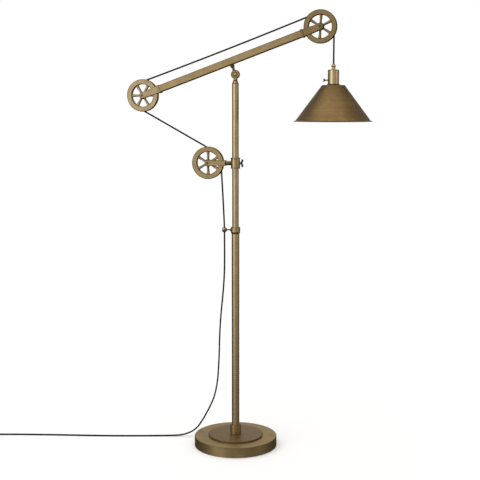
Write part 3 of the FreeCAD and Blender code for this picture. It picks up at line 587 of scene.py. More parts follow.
def coilPoints():
    # Turns round the coil's middle: lower outer, lower inner, upper inner, upper outer. Each changes lane
    # over its last quarter by a smooth step, and the second bows inwards while it climbs, so none touches.
    turns, perTurn, outer, inner, low, high = [coilLook[key] for key in ("turns", "perTurn", "outer", "inner",
        "low", "high")]
    points = []
    swell = 1 / np.cos(np.pi / perTurn)  # the spline runs inside its points by this much
    for index in range(turns * perTurn + 1):
        lap = min(index // perTurn, turns - 1)
        step = np.clip((index / perTurn - lap - 0.75) * 4, 0, 1)
        step = smoothStep(step)
        radius, height = [
            (outer - (outer - inner) * step, low),
            (inner - coilLook["bulge"] * np.sin(np.pi * step), low + (high - low) * step),
            (inner + (outer - inner) * step, high),
            (outer + (outer - inner) * step, high),
        ][lap]
        angle = np.radians(coilLook["heading"] - 90) + 2 * np.pi * index / perTurn
        points.append((coilMiddle[0] + radius * swell * np.cos(angle),
            coilMiddle[1] + radius * swell * np.sin(angle), height))
    return points


def tailPoints():
    # from the last turn down and in to the plug's middle line, ending inside its strain relief
    reach, height = coilLook["tailReach"], coilLook["plugHeight"]
    steps = [(0.01, 0.041, 0.0093), (0.02, 0.0378, 0.008), (reach, 0.0361, 0.0071),
        (reach + 0.006, coilLook["outer"], height)]
    return [tuple(coilMiddle + floorAhead * ahead + floorSide * aside + upward * up) for ahead, aside,
        up in steps]


def smoothLine(points):
    # the line of a NURBS spline of order 3 through its end points, read back as an array
    curve = bpy.data.curves.new("line", "CURVE")
    curve.dimensions = "3D"
    spline = curve.splines.new("NURBS")
    spline.points.add(len(points) - 1)
    spline.points.foreach_set("co", np.column_stack([points, np.ones(len(points))]).reshape(-1))
    spline.order_u = 3
    spline.use_endpoint_u = True
    spline.resolution_u = 8
    holder = bpy.data.objects.new("line", curve)
    bpy.context.scene.collection.objects.link(holder)
    bpy.context.view_layer.update()
    mesh = bpy.data.meshes.new_from_object(holder.evaluated_get(bpy.context.evaluated_depsgraph_get()))
    line = np.zeros(len(mesh.vertices) * 3)
    mesh.vertices.foreach_get("co", line)
    bpy.data.objects.remove(holder)
    bpy.data.curves.remove(curve)
    bpy.data.meshes.remove(mesh)
    return line.reshape(-1, 3)


def roundPulley(axle, start, end, count):
    # an arc of the cord's track about a pulley's axle, angles in degrees above +X
    angle = np.radians(np.linspace(start, end, count))
    return axle + track * np.stack([np.cos(angle), 0 * angle, np.sin(angle)], 1)


def onTrack(axle, angle):
    return roundPulley(axle, angle, angle, 1)[0]


def straightLine(start, end, count):
    return start + (end - start) * np.linspace(0, 1, count)[:, None]


armAngle = np.degrees(np.arctan2(along[2], along[0]))
armSpan = np.linalg.norm(frontAxle - backAxle)
lean = np.degrees(4 * cordLook["sag"] / armSpan)
gap = midAxle - backAxle
heading = np.degrees(np.arctan2(gap[2], gap[0]) + np.arcsin(2 * track / np.linalg.norm(gap)))
clipExit = np.array(cordRoute[0])
clipBend = np.array([clipExit[0], 0, (nodeBox("clip_head")[0][2] + nodeBox("clip_head")[1][2]) / 2
    + cordLook["clipBend"]])
clipGap = clipBend - midAxle
clipTangent = np.degrees(np.arctan2(clipGap[2], clipGap[0]) + np.arccos(track / np.linalg.norm(clipGap)))


def makeHeldCords():
    # the stretches that the pulleys and the clip hold, each as large an arc as its pulley's track
    topFront, topBack = onTrack(frontAxle, 90 + armAngle + lean), onTrack(backAxle, 90 + armAngle - lean)
    share = np.linspace(0, 1, 60)[:, None]
    slack = np.tan(np.radians(lean)) * np.linalg.norm(topFront - topBack)
    overArm = topFront + (topBack - topFront) * share - above * slack * share * (1 - share)
    aroundBack = roundPulley(backAxle, 90 + armAngle - lean, heading + 270, 60)
    spanStart, spanEnd = onTrack(backAxle, heading - 90), onTrack(midAxle, heading + 90)
    tail = straightLine(spanStart, spanStart + unit(spanEnd - spanStart) * cordLook["tail"], 4)
    held = {
        "cord_arm": np.concatenate([overArm, aroundBack[1:], tail[1:]]),
        "cord_over": roundPulley(frontAxle, 90 + armAngle + lean, 0, 48),
        "cord_drop": straightLine(dropTop, np.array([dropTop[0], 0, nodeBox("cord_drop")[0][2]]), 24),
        "cord_span": straightLine(tail[-1], spanEnd, 60),
        "cord_mid": roundPulley(midAxle, heading + 90, clipTangent, 30),
        "cord_pole": smoothLine([onTrack(midAxle, clipTangent), clipBend, clipExit]),
    }
    bodies = {"cord_arm": "arm", "cord_pole": "stand"}
    made = {}
    for node, line in held.items():
        nodes = ["cord_span", "cord_span_end"] if node == "cord_span" else [node]
        made[node] = putPiece(node, [tubePart(line, across)], bodies.get(node), "cloth", nodes)
    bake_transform(made["cord_over"])
    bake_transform(made["cord_drop"])
    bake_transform(made["cord_span"])
    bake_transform(made["cord_mid"])
    print("held cords laid")


def makeFreeCord():
    # the free cord from the clip down to the floor, along it, round the coil and into the plug
    line = smoothLine(cordRoute + coilPoints() + tailPoints())
    nearCoil = np.linalg.norm(line[:, :2] - coilMiddle[:2], axis=1) < 0.12
    side = np.where(nearCoil[:, None], -upward, np.cross(unit(np.gradient(line, axis=0)), across))
    cord = putPiece("cord_free", [tubePart(line, side)], "stand", "cloth",
        ["cord_free", "cord_coil", "cord_tail"], "free_cord")
    length = float(np.linalg.norm(np.diff(line, axis=0), axis=1).sum())
    print("free cord", round(length, 3), "m")
    return cord, line, length


plugLook = {"ribs": 6, "ribDepth": 0.0006, "bladeApart": 0.0127, "bladeHalf": 0.00075}
plugStart = (coilMiddle + floorSide * coilLook["outer"] + floorAhead * coilLook["tailReach"]
    + upward * coilLook["plugHeight"])


def makePlug():
    # a moulded two-pole plug lying on its broad side: ribbed relief, flat body with a waist, two blades
    share = np.linspace(0, 1, 73)
    rib = plugLook["ribDepth"] * (0.5 - 0.5 * np.cos(2 * np.pi * plugLook["ribs"] * share))
    reliefLine = plugStart + floorAhead * 0.021 * share[:, None]
    size = 0.004 + 0.0016 * share - rib * (share < 0.99)
    relief = loftPart(reliefLine, size, size, floorSide, 2.0, 24, floorAhead)
    reach = np.array([0.019, 0.0191, 0.0196, 0.0206, 0.0225, 0.026, 0.031, 0.037, 0.042, 0.0448, 0.0462,
        0.0468, 0.047])
    wide = np.array([0.005, 0.0062, 0.0072, 0.0082, 0.0094, 0.0106, 0.0104, 0.0108, 0.0119, 0.012, 0.0117,
        0.011, 0.0098])
    tall = np.array([0.0046, 0.0052, 0.0056, 0.006, 0.0064, 0.0066, 0.0063, 0.0064, 0.0066, 0.0066, 0.0064,
        0.0059, 0.005])
    bodyLine = plugStart + floorAhead * reach[:, None]
    shell = loftPart(bodyLine, wide, tall, floorSide, 4.0, 48, floorAhead)
    plug = putPiece("plug_body", [relief, shell], "stand", "vinyl")
    blades = []
    blade = mirrored([(0.046, -0.0032, 0), (0.063, -0.0032, 0.0022)])
    half = plugLook["bladeHalf"]
    for sign in (-0.5, 0.5):
        blades.append(slabPart(blade, -half, half, 0.0003, plugStart
            + floorSide * sign * plugLook["bladeApart"], [floorAhead, upward, floorSide]))
    pins = putPiece("plug_blades", blades, "stand", "zinc")
    return plug, pins


def makeCoilTie():
    # a strap round the bundle: a flat band bent to a rounded box
    outer, inner, radius = coilLook["outer"], coilLook["inner"], cordLook["radius"]
    wall, wide, slack = 0.00035, 0.005, 0.0003
    half = (outer - inner) / 2 + radius + slack + wall
    bottom, top = coilLook["low"] - radius - wall, coilLook["high"] + radius + 0.0002 + wall
    outward = unit((sum(nodeBox("coil_tie")) / 2 - coilMiddle) * (1, 1, 0))
    runway = np.cross(upward, outward)
    loop = closeLoop(softLine([(half, bottom, 0.002), (half, top, 0.002), (-half, top, 0.002),
        (-half, bottom, 0.002)], True)[0])
    spine = coilMiddle + outward * (outer + inner) / 2 + loop[:, :1] * outward + loop[:, 1:] * upward
    normal = unit(np.cross(np.gradient(spine, axis=0), runway))
    section = ringOutline(wide, wall, 6.0, 20)
    band = spine[:, None] + section[None, :, :1] * runway + section[None, :, 1:] * normal[:, None]
    strap = {"points": band, "edge": np.zeros(band.shape[:2]), "uv": None}
    return putPiece("coil_tie", [strap], "stand", "felt")


makeHeldCords()
freeCord, freeLine, freeLength = makeFreeCord()
plugBody, plugBlades = makePlug()
coilTie = makeCoilTie()
print("cords and plug made")


# Base

baseLook = {"edge": 0.0021, "stepEdge": 0.0016, "segments": 160, "lip": 0.0012, "shoulder": 0.008}


def makeBase():
    coverLow, coverHigh = nodeBox("base_cover")
    stepRadius, _, stepTop = nodeBox("base_step")[1]
    collar, _, collarTop = nodeBox("base_collar")[1]
    tube, segments, lip = nodeBox("pole_lower")[1][0], baseLook["segments"], baseLook["lip"]
    wide, top, low = coverHigh[0], coverHigh[2], coverLow[2]
    shoulder = wide - baseLook["shoulder"]
    side = turnedPart([(wide - lip, low, 0), (wide, low, 0.0004), (wide, top, baseLook["edge"]),
        (shoulder, top, 0)], segments)
    under = turnedPart([(wide - lip, low, 0), (wide - lip, top - lip, 0), (0, top - lip, 0)], segments)
    upper = turnedPart([(reach, top, 0) for reach in (shoulder, 0.12, 0.105, 0.095, 0.04, 0)], segments)
    putPiece("base_cover", [side, under, upper], "stand", "baseSide")
    disc = turnedPart([(0, top - 0.0005, 0), (stepRadius, top - 0.0005, 0),
        (stepRadius, stepTop, baseLook["stepEdge"]), (0.05, stepTop, 0), (0, stepTop, 0)], segments)
    putPiece("base_step", [disc], "stand", "baseTop")
    foot = turnedPart([(tube - 0.0005, stepTop, 0), (collar, stepTop, 0.0004), (collar, stepTop + 0.003, 0),
        (collar, collarTop, 0.0014), (tube + 0.0015, collarTop, 0.0006), (tube + 0.001, collarTop - 0.002, 0),
        (tube - 0.0005, collarTop - 0.002, 0)], 96, True)
    putPiece("base_collar", [foot], "stand", "turnedUp")
    print("base made")


makeBase()


# Pole

poleLook = {"segments": 96, "wall": 0.0018}


def makePole():
    for node in ("pole_lower", "pole_upper"):
        low, high = nodeBox(node)
        wide, bore = high[0], high[0] - poleLook["wall"]
        tube = turnedPart([(bore, low[2], 0), (wide, low[2], 0.0003), (wide, low[2] + 0.02, 0),
            (wide, high[2], 0.0006), (bore, high[2], 0.0003)], poleLook["segments"], True)
        putPiece(node, [tube], "stand", "pole")
    print("pole made")


makePole()


# Cord clip on the pole

clipLook = {"neck": 0.0024, "headRound": 0.0016}


def makeClip():
    (_, _, low), (wide, _, high) = nodeBox("clip_ring")
    headLow, headHigh = nodeBox("clip_head")
    bore, neck, near, far = poleRadius, clipLook["neck"], -headHigh[0], -headLow[0]
    level = (0, 0, (headLow[2] + headHigh[2]) / 2)
    ring = turnedPart([(bore, low, 0), (0.0146, low, 0.0006), (0.0164, low + 0.003, 0.0012),
        (wide, low + 0.0066, 0.0016), (wide, high - 0.0018, 0.0012), (0.0162, high, 0.0008),
        (bore + 0.0008, high, 0.0005), (bore, high - 0.001, 0)], 96, True)
    stem = turnedPart([(0, 0.013, 0), (0.0078, 0.013, 0), (0.006, 0.0176, 0.002), (neck, 0.0212, 0.003),
        (neck, near + 0.0022, 0.001), (0.0048, near + 0.0006, 0.0012), (0.0048, near - 0.002, 0),
        (0, near - 0.002, 0)], 48, centre=level, axis=(-1, 0, 0))
    # painted shade: the neck between the ring and the head is darkened
    stem["edge"] = np.clip((-stem["points"][..., 0] - 0.0172) / 0.003, 0, 1) * 1.2
    putPiece("clip_ring", [ring, stem], "stand", "turnedUp")
    radius, step = (headHigh[2] - headLow[2]) / 2, near + 0.0062
    head = turnedPart([(0, near, 0), (radius - 0.0022, near, 0.001), (radius - 0.0008, near + 0.002, 0.001),
        (radius - 0.0008, step, 0.0004), (radius, step + 0.0004, 0.0004),
        (radius, far, clipLook["headRound"]), (0.004, far, 0.0006), (0.0036, far - 0.0006, 0),
        (0, far - 0.0006, 0)], 64, centre=level, axis=(-1, 0, 0))
    # painted shade: the head's narrower part next to the ring is darkened
    dark = np.clip((head["points"][..., 0] + step) / 0.0006, 0, 1)
    markPart(head, dark * 0.55, 0.8)
    putPiece("clip_head", [head], "stand", "turnedLie")
    print("clip made")


makeClip()


# Cap, knuckle and stem between pole and arm

knuckleLook = {"halfDepth": 0.0066, "gap": 0.00015, "edge": 0.0018, "recess": 0.0082, "recessDepth": 0.0016,
    "dome": 0.0042, "lean": 0.0034}
knuckleRadius = nodeBox("pole_cap")[1][2] - knuckle[2]


def axleReach(part, axle):
    # each point's distance from a line along Y through the axle's middle
    return np.linalg.norm((part["points"] - axle)[..., ::2], axis=-1)


def knuckleDisc(sign, recessed):
    # half of the knuckle, turned about the pivot; sign is -1 for the front half and 1 for the back one
    look, radius, outer = knuckleLook, knuckleRadius, knuckleLook["halfDepth"]
    recess, bottom = look["recess"], outer - look["recessDepth"] * recessed
    disc = turnedPart([(0, bottom, 0), (recess, bottom, 0.0004), (recess + 0.0006, outer, 0.0006),
        (radius - 0.0026, outer, 0.0008), (radius, outer - 0.0022, look["edge"]),
        (radius, look["gap"], 0.0004), (0, look["gap"], 0)], 80, centre=knuckle, axis=(0, sign, 0))
    if recessed:
        # painted shade: the recess is darkened
        markPart(disc, 1.2 * (axleReach(disc, knuckle) < recess + 0.0004))
    return disc


def makeKnuckle():
    tube, neck = poleRadius, knuckle[2] - knuckleRadius + 0.0004 - poleTop
    cone = turnedPart([(0, -0.004, 0), (tube - 0.0016, -0.004, 0), (tube - 0.0016, 0, 0), (tube, 0, 0.0003),
        (tube, 0.0012, 0.0014), (0.0082, 0.0096, 0.0016), (0.0072, 0.0104, 0.0004), (0.0083, 0.0114, 0.0006),
        (0.0083, 0.013, 0.0007), (0.0072, 0.0138, 0.0004), (0.0068, neck, 0), (0, neck, 0)],
        centre=(0, 0, poleTop))
    share = np.linspace(0, 1, 15)
    ease, start = smoothStep(share), poleTop + 0.0125
    spine = np.stack([0 * share, -knuckleLook["lean"] * ease, start + (knuckle[2] - 0.009 - start) * share],
        1)
    funnel = loftPart(spine, 0.007 - 0.0008 * np.sin(np.pi * share) + 0.0036 * ease ** 2,
        0.0068 - 0.0037 * ease, rightward, 2.6, 40, upward)
    putPiece("pole_cap", [cone, funnel, knuckleDisc(-1, True)], "stand", "knuckleFace")
    front, dome = knuckleLook["halfDepth"] - knuckleLook["recessDepth"], knuckleLook["dome"]
    screw = turnedPart([(0, front - 0.002, 0), (0.007, front - 0.002, 0), (0.007, front + 0.0004, 0.0003),
        (dome + 0.0004, front + 0.0004, 0), (dome + 0.0001, front + 0.0009, 0.0004),
        (dome * 0.78, front + 0.0021, 0.0026), (0, front + 0.0028, 0)], 48, centre=knuckle, axis=-across)
    # painted shade: the screw head's ring round the dome, down in the recess, is darkened
    screw["edge"] = np.clip((axleReach(screw, knuckle) - dome) / 0.0012, 0, 1)
    shank = turnedPart([(0, 0, 0), (0.0029, 0, 0), (0.0029, 0.0112, 0.0006), (0, 0.0112, 0)], 32,
        centre=knuckle, axis=across)
    putPiece("knuckle_screw", [screw, shank], "stand", "brightBrass")
    near, far = [corner[1] for corner in nodeBox("knuckle_nut")]
    nut = turnedPart([(0.003, near, 0), (0.0064, near, 0.0003), (0.0064, far, 0.001), (0.003, far, 0.0003)],
        48, True, centre=knuckle, axis=across)
    putPiece("knuckle_nut", [nut], "stand", "blackened")
    makeArmStem()
    print("knuckle made")


def makeArmStem():
    # in the arm's own directions: half of the knuckle, a tongue, a slim neck and a bulb under the tube
    under, start = armRise - armSide / 2, knuckleRadius + 0.0004
    neck = turnedPart([(0, start - 0.004, 0), (0.0048, start - 0.004, 0), (0.0048, under - 0.0112, 0.0012),
        (0.0066, under - 0.0096, 0.0014), (0.0081, under - 0.0062, 0.003), (0.0081, under - 0.0034, 0.0026),
        (0.0064, under - 0.0006, 0.001), (0.0064, under + 0.001, 0), (0, under + 0.001, 0)], 64,
        centre=knuckle, axis=above)
    share = np.linspace(0, 1, 13)
    ease = smoothStep(share)
    rise = 0.01 + (start + 0.001 - 0.01) * share
    spine = knuckle + above * rise[:, None] + across * (knuckleLook["lean"] * (1 - ease))[:, None]
    tongue = loftPart(spine, 0.0086 - 0.004 * ease, 0.0031 + 0.0016 * ease, along, 2.6, 36, above)
    putPiece("arm_stem", [neck, tongue, knuckleDisc(1, False)], "arm", "knuckleFace")


# Arm

armSide = 0.0254
armRise = float((frontAxle - knuckle) @ above)
armLook = {"tubeCorner": 0.0022, "ringCorner": 0.0018, "ringOut": 0.002, "forkLength": 0.07, "hub": 0.0105,
    "cheekRound": 0.0011, "outside": 0.013, "barHalf": 0.0095, "barRound": 0.0005, "eyelet": 0.0062}
cheekInside = 0.0094


def squareCorners(half, rounding):
    return [(-half, -half, rounding), (half, -half, rounding), (half, half, rounding),
        (-half, half, rounding)]


def makeArm():
    middle, length = knuckle + above * armRise, armLook["forkLength"]
    reaches = [float((axle - knuckle) @ along) for axle in (backAxle, frontAxle)]
    axes = [across, above, along]  # outlines lie across the arm, thickness runs along it
    tube = slabPart(squareCorners(armSide / 2, armLook["tubeCorner"]), reaches[0] + length - 0.002,
        reaches[1] - length + 0.002, 0.0003, middle, axes)
    putPiece("arm_tube", [tube], "arm", "armTube")
    square = squareCorners(armSide / 2 + armLook["ringOut"], armLook["ringCorner"])
    for end, axle, reach, towards in zip(("back", "front"), (backAxle, frontAxle), reaches, (1, -1)):
        makeArmFork(end, axle, towards)
        low, high = sorted((reach + towards * 0.062, reach + towards * length))
        ring = slabPart(square, low, high, 0.001, middle, axes)
        # painted shade: the ring's two ends, against the tube and the fork, are darkened
        deep = np.abs((ring["points"] - middle) @ along - (low + high) / 2) > 0.0026
        markPart(ring, 1.1 * deep)
        putPiece("arm_ring_" + end, [ring], "arm", "fork_" + end)
    print("arm made")


def cheekCorners(hub, shoulder, shoulderHalf, reach, endHalf):
    # a tapered plate: a round end about the axle, sides tangent to it that run to the shoulder, then straight
    slope = np.arctan2(shoulderHalf, shoulder) + np.arccos(hub / np.hypot(shoulder, shoulderHalf))
    touch = hub * np.array([np.cos(slope), np.sin(slope)])
    side = unit(np.array([shoulder, shoulderHalf]) - touch)
    outer = touch - side * (touch[0] + hub) / side[0]
    return mirrored([(-hub, -outer[1], hub), (shoulder, -shoulderHalf, 0.004), (reach, -endHalf, 0.0006)])


def eyeletPart(axle, depth, sign, radius):
    # a low round lip on the cheek about the axle's end
    lip = turnedPart([(0.0042, depth - 0.001, 0), (radius, depth - 0.001, 0),
        (radius - 0.0004, depth + 0.0006, 0.0005), (0.0042, depth + 0.0006, 0.0004)], 48, True, centre=axle,
        axis=(0, sign, 0))
    # the painted shade on the lip's rounded edges is kept weaker
    lip["edge"] = lip["edge"] * 0.6
    return lip


def axlePart(axle, depth):
    # the axle with a dark round head in the lip at each end
    return turnedPart(mirrored([(0, -depth, 0), (0.003, -depth, 0.0006), (0.0039, -depth + 0.0008, 0.0004),
        (0.0039, -depth + 0.002, 0), (0.003, -depth + 0.002, 0)]), 40, centre=axle, axis=across)


def forkParts(axle, axes, cheek, bar, look):
    # two cheeks, the bar between their ends, and a lip about each end of the axle
    depth, half = look["outside"], look["barHalf"]
    parts = [slabPart(cheek, low, high, look["cheekRound"], axle, axes) for low,
        high in ((-depth, -cheekInside), (cheekInside, depth))]
    parts.append(slabPart(mirrored(bar), -half, half, look["barRound"], axle, axes))
    return parts + [eyeletPart(axle, depth, sign, look["eyelet"]) for sign in (-1, 1)]


def makeArmFork(end, axle, towards):
    half, length = armSide / 2 + 0.0002, armLook["forkLength"]
    cheek = cheekCorners(armLook["hub"], 0.05, half, length - 0.004, half)
    bar = [(0.0605, -half + 0.0003, 0.0008), (length + 0.002, -half + 0.0003, 0.0003)]
    parts = forkParts(axle, [along * towards, above, across], cheek, bar, armLook)
    putPiece("arm_fork_" + end, parts, "arm", "fork_" + end)
    putPiece("arm_axle_" + end, [axlePart(axle, armLook["outside"] + 0.0002)], "arm", "blackened")


makeKnuckle()
makeArm()


# Pulleys

pulleyLook = {"segments": 144, "spokes": 6, "inner": 0.0404, "hub": 0.012, "hubWaist": 0.0035,
    "rimWaist": 0.0054, "fillet": 0.0044, "thick": 0.005, "power": 3.0, "around": 36, "room": 0.002}


def spokePart(axle, angle, inner, outer):
    # a tapered bar from hub to rim: its half width runs between two waists and flares by a quarter-round at
    # both ends; the section is a superellipse
    look, fillet = pulleyLook, pulleyLook["fillet"]
    radial = np.array([np.cos(angle), 0, np.sin(angle)])
    reach = inner + (outer - inner) * (0.5 - 0.5 * np.cos(np.pi * np.linspace(0, 1, 29)))
    share = (reach - inner) / (outer - inner)
    width = look["hubWaist"] + (look["rimWaist"] - look["hubWaist"]) * share
    for gap in (reach - inner, outer - reach):
        width = width + fillet - np.sqrt(fillet ** 2 - (fillet - np.clip(gap, 0, fillet)) ** 2)
    thick = look["thick"] - 0.0006 * np.sin(np.pi * share)
    angles = np.linspace(0, 2 * np.pi, look["around"] + 1)
    # painted shade: each spoke's sides are darkened, and its root by the hub, where the fork's shadow falls
    flank = np.clip(np.abs(np.cos(angles)) * 2.2 - 0.9, 0, 1) * 1.25
    root = np.exp(-(reach - inner) / 0.006) * 1.1
    return loftPart(axle + radial * reach[:, None], width, thick, np.cross(across, radial), look["power"],
        look["around"], radial, np.maximum(flank[None], root[:, None]))


def makePulley(end, axle, body, firstSpoke):
    look, inner, wide = pulleyLook, pulleyLook["inner"], pulleyLook["hub"]
    low, high = nodeBox("pulley_" + end)
    outer, half = (high[0] - low[0]) / 2, (high[1] - low[1]) / 2
    trough = track - cordLook["radius"] - look["room"]  # deep enough for a cord that leaves at a slant
    rim = turnedPart(mirrored([(inner, -half + 0.0016, 0.0006), (inner + 0.0016, -half, 0.0008),
        (0.0566, -half, 0.0008), (outer, -half + 0.0016, 0.0007), (outer, -half + 0.0028, 0.0006),
        (trough, -0.0035, 0.0016)]), look["segments"], True, centre=axle, axis=across)
    reach = axleReach(rim, axle)
    # painted shade: the rim's outer lips and its inner edge by the windows are darkened
    markPart(rim, 1.1 * ((reach > 0.0568) | (reach < inner + 0.0014)))
    hub = turnedPart(mirrored([(0.0041, -half, 0.0003), (wide - 0.0012, -half, 0.0007),
        (wide, -half + 0.0012, 0.0007)]), 64, True, centre=axle, axis=across)
    angles = np.radians(firstSpoke + np.arange(look["spokes"]) * 360 / look["spokes"])
    spokes = [spokePart(axle, angle, wide - 0.0006, inner + 0.001) for angle in angles]
    putPiece("pulley_" + end, [rim, hub, *spokes], body, "pulley_" + end)


makePulley("back", backAxle, "back_wheel", 1.0)
makePulley("front", frontAxle, "front_wheel", 27.0)
makePulley("mid", midAxle, "middle_wheel", 30.0)
print("pulleys made")


# Bracket that carries the middle pulley

bracketLook = {"rim": 0.0174, "waist": 0.0164, "neckRings": 3, "hub": 0.01, "half": 0.0097,
    "cheekRound": 0.001, "outside": 0.0126, "barHalf": 0.0096, "barRound": 0.0006, "eyelet": 0.006}


def makeBracket():
    (_, _, low), (_, _, high) = nodeBox("bracket_sleeve")
    look, bore, level = bracketLook, poleRadius, (0, 0, midAxle[2])
    rim, waist = look["rim"], look["waist"]
    sleeve = turnedPart([(bore, low, 0), (rim - 0.0004, low, 0.0004), (rim, low + 0.0006, 0.0003),
        (rim, low + 0.003, 0.0005), (waist, low + 0.0038, 0.0005), (waist, high - 0.0038, 0.0005),
        (rim, high - 0.003, 0.0005), (rim, high - 0.0006, 0.0003), (rim - 0.0004, high, 0.0004),
        (bore + 0.0006, high, 0.0004), (bore, high - 0.001, 0)], 96, True)
    ridges = [(0, 0.014, 0), (0.0086, 0.014, 0), (0.0086, 0.0178, 0.0004)]
    for start in 0.0184 + np.arange(look["neckRings"]) * 0.0056:
        ridges += [(0.0072, start, 0.0004), (0.008, start + 0.0008, 0.0004), (0.008, start + 0.0044, 0.0004),
            (0.0072, start + 0.005, 0.0004)]
    ridges += [(0.008, 0.0356, 0.0004), (0.008, 0.038, 0), (0, 0.038, 0)]
    neck = turnedPart(ridges, 56, centre=level, axis=(-1, 0, 0))
    # painted shade: the neck's length outside the sleeve, between sleeve and fork, is darkened
    markPart(neck, 0.72 * (neck["points"][..., 0] < -0.0168), 0.9)
    boss = turnedPart([(0, 0.014, 0), (0.0056, 0.014, 0), (0.0056, 0.0188, 0.0007), (0, 0.0188, 0)], 40,
        centre=level, axis=rightward)
    putPiece("bracket_sleeve", [sleeve, neck, boss], "stand", "turnedUp")
    reach, half = -midAxle[0] - 0.035, look["half"]
    cheek = cheekCorners(look["hub"], 0.05, half, reach, half + 0.0002)
    bar = [(0.06, -half, 0.0006), (reach, -half, 0.0006)]
    parts = forkParts(midAxle, [rightward, upward, across], cheek, bar, look)
    putPiece("bracket_fork", parts, "stand", "bracket")
    putPiece("bracket_axle", [axlePart(midAxle, look["outside"] + 0.0002)], "stand", "blackened")
    makeWingScrew(level)
    print("bracket made")


def makeWingScrew(level):
    # shank, cone-shaped hub and two wings that flare away from the sleeve
    shank = turnedPart([(0, 0.013, 0), (0.0029, 0.013, 0), (0.0029, 0.0196, 0), (0.0036, 0.0206, 0.0008),
        (0.0046, 0.024, 0.001), (0.0044, 0.0256, 0.0012), (0, 0.0258, 0)], 36, centre=level, axis=rightward)
    wing = [(0.0212, -0.0005, 0), (0.0206, 0.0052, 0.0016), (0.022, 0.0092, 0.002), (0.0212, 0.0137, 0.0006),
        (0.0252, 0.0142, 0.0014), (0.0294, 0.0118, 0.0014), (0.0286, 0.0064, 0.0026),
        (0.0262, 0.0024, 0.0016), (0.0258, -0.0005, 0)]
    wings = [slabPart([(a, sign * b, bend) for a, b, bend in wing], -0.0014, 0.0014, 0.0006, level,
        [rightward, upward, across]) for sign in (-1, 1)]
    putPiece("wing_screw", [shank, *wings], "clamp_screw", "blackened")


makeBracket()


# Hanging shade, its cup and its switch

pendantLook = {"segments": 192, "topRound": 0.0022, "wall": 0.001, "rimMark": 0.55, "bore": 0.0185}


def makePendant():
    centre = np.array([dropTop[0], 0, 0])
    cupLow, cupHigh = nodeBox("socket_cap")
    radius, low, top = (cupHigh[0] - cupLow[0]) / 2, cupLow[2], cupHigh[2]
    end = nodeBox("cord_grip")[1][2] - top
    grip = turnedPart([(0, -0.0004, 0), (0.0074, -0.0004, 0), (0.0074, 0.001, 0.0005),
        (0.0066, 0.0016, 0.0004), (0.0066, 0.0078, 0.0004), (0.006, 0.0084, 0.0003), (0.006, 0.0092, 0.0003),
        (0.008, 0.0106, 0.001), (0.0082, 0.0124, 0.0016), (0.0058, 0.0166, 0.002), (0.005, 0.0186, 0.0008),
        (0.0049, end, 0.0006), (0.0031, end, 0.0004), (0.0031, end - 0.002, 0), (0, end - 0.002, 0)], 64,
        centre=centre + upward * top)
    putPiece("cord_grip", [grip], "pendant", "cup")
    within = radius - 0.001
    cup = turnedPart([(within, low, 0), (radius, low, 0.0003), (radius, low + 0.003, 0),
        (radius, top, 0.0036), (0.0085, top, 0), (0, top, 0)], 96, centre=centre)
    # painted shade: a band at the cup's foot, where it sits on the collar, is darkened
    band = np.clip(1 - (cup["points"][..., 2] - low) / 0.0016, 0, 1)
    markPart(cup, band, 0.75)
    inside = turnedPart([(within, low, 0), (within, top - 0.0014, 0.002), (0, top - 0.0014, 0)], 96,
        centre=centre)
    putPiece("socket_cap", [cup, inside], "pendant", "cup")
    collarLow, collarHigh = nodeBox("shade_collar")
    seat, bore = (collarHigh[0] - collarLow[0]) / 2, 0.0186
    collar = turnedPart([(bore, collarLow[2], 0), (seat, collarLow[2], 0.0003), (seat, collarHigh[2], 0.001),
        (bore, collarHigh[2], 0.0003)], 96, True, centre=centre)
    # painted shade: the collar between the cup and the shade is darkened all over
    markPart(collar, 0.65)
    putPiece("shade_collar", [collar], "pendant", "shade")
    makeShade(centre)
    (near, _, keyLow), (far, _, keyHigh) = nodeBox("key_bush")
    level = (0, 0, (keyLow + keyHigh) / 2)
    bush = turnedPart([(0.0016, -far, 0), (0.0031, -far, 0), (0.0031, -near, 0.0006),
        (0.0016, -near, 0.0003)], 32, True, centre=level, axis=(-1, 0, 0))
    putPiece("key_bush", [bush], "pendant", "cup")
    makeSwitchKey(level)
    print("pendant made")


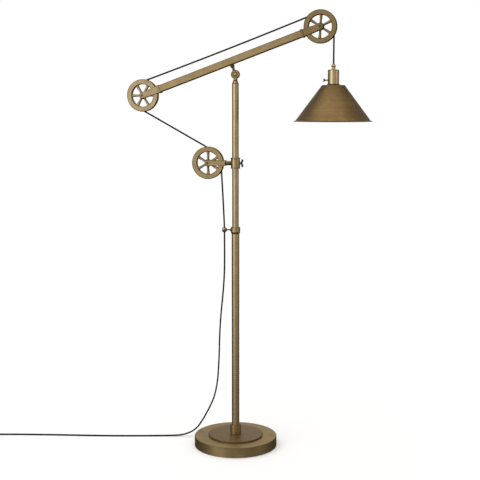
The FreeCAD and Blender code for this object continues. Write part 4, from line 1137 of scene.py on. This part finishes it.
def makeShade(centre):
    # the spun cone: outer line with a rounded shoulder and a small flared lip, a constant wall, and inside
    low, high = nodeBox("shade")
    edge, top, radius = low[2], high[2], (high[0] - low[0]) / 2
    bore, wall, bend = pendantLook["bore"], pendantLook["wall"], pendantLook["topRound"]
    shade = turnedPart([(bore, top, 0), (0.0396, top, bend), (0.085, top - 0.0606, 0),
        (0.1312, edge + 0.004, 0.004), (radius - 0.0014, edge + 0.0006, 0.0012),
        (radius - 0.0002, edge, 0.0002), (radius - 0.002, edge, 0.0002), (0.131, edge + 0.0026, 0.004),
        (0.085, top - 0.0623, 0), (0.039, top - wall, bend), (bore, top - wall, 0)], pendantLook["segments"],
        True, centre=centre)
    # painted shade: a darker line along the rolled lip and at the shoulder by the flat top
    reach = np.linalg.norm((shade["points"] - centre)[..., :2], axis=-1)
    rim = np.clip((reach - 0.1335) / 0.004, 0, 1)
    crown = np.exp(-((reach - 0.0396) / 0.0016) ** 2)
    shade["edge"] = pendantLook["rimMark"] * np.maximum(rim, crown)
    putPiece("shade", [shade], "pendant", "shade")


def makeSwitchKey(level):
    # a thin stem and a flat thumb piece that flares to two horns
    (tip, _, _), (start, _, _) = nodeBox("switch_key")
    stem = turnedPart([(0, 0, 0), (0.0017, 0, 0), (0.0019, 0.011, 0.0004), (0.0026, 0.0118, 0.0004),
        (0.0026, 0.0132, 0.0004), (0, 0.0136, 0)], 28, centre=rightward * start + level, axis=(-1, 0, 0))
    grip = slabPart([(0.0074, -0.0024, 0.0004), (0.0074, 0.0024, 0.0004), (0.0048, 0.0036, 0.001),
        (0.0016, 0.0072, 0.0012), (0, 0.0062, 0.0009), (0.0008, 0.0, 0.004), (0, -0.0062, 0.0009),
        (0.0016, -0.0072, 0.0012), (0.0048, -0.0036, 0.001)], -0.0012, 0.0012, 0.0005,
        rightward * tip + level, [rightward, upward, across])
    putPiece("switch_key", [stem, grip], "key", "blackened")


makePendant()


# The nodes that keep their CAD shape

def paintNodes():
    kept = {
        "felt": ["base_pad"], "iron": ["base_weight"],
        "zinc": ["base_spacer", "base_bolt", "base_washer", "pole_foot"],
        "phenolic": ["lampholder", "shade_ring"], "threadBrass": ["thread_shell", "middle_contact"],
        "brightBrass": ["bush_back", "bush_front", "bush_mid"],
    }
    for paint, names in kept.items():
        for name in names:
            for slot in frame["nodes"][name].material_slots:
                slot.link = "OBJECT"
                slot.material = paints[paint]
    print("kept nodes painted")


paintNodes()
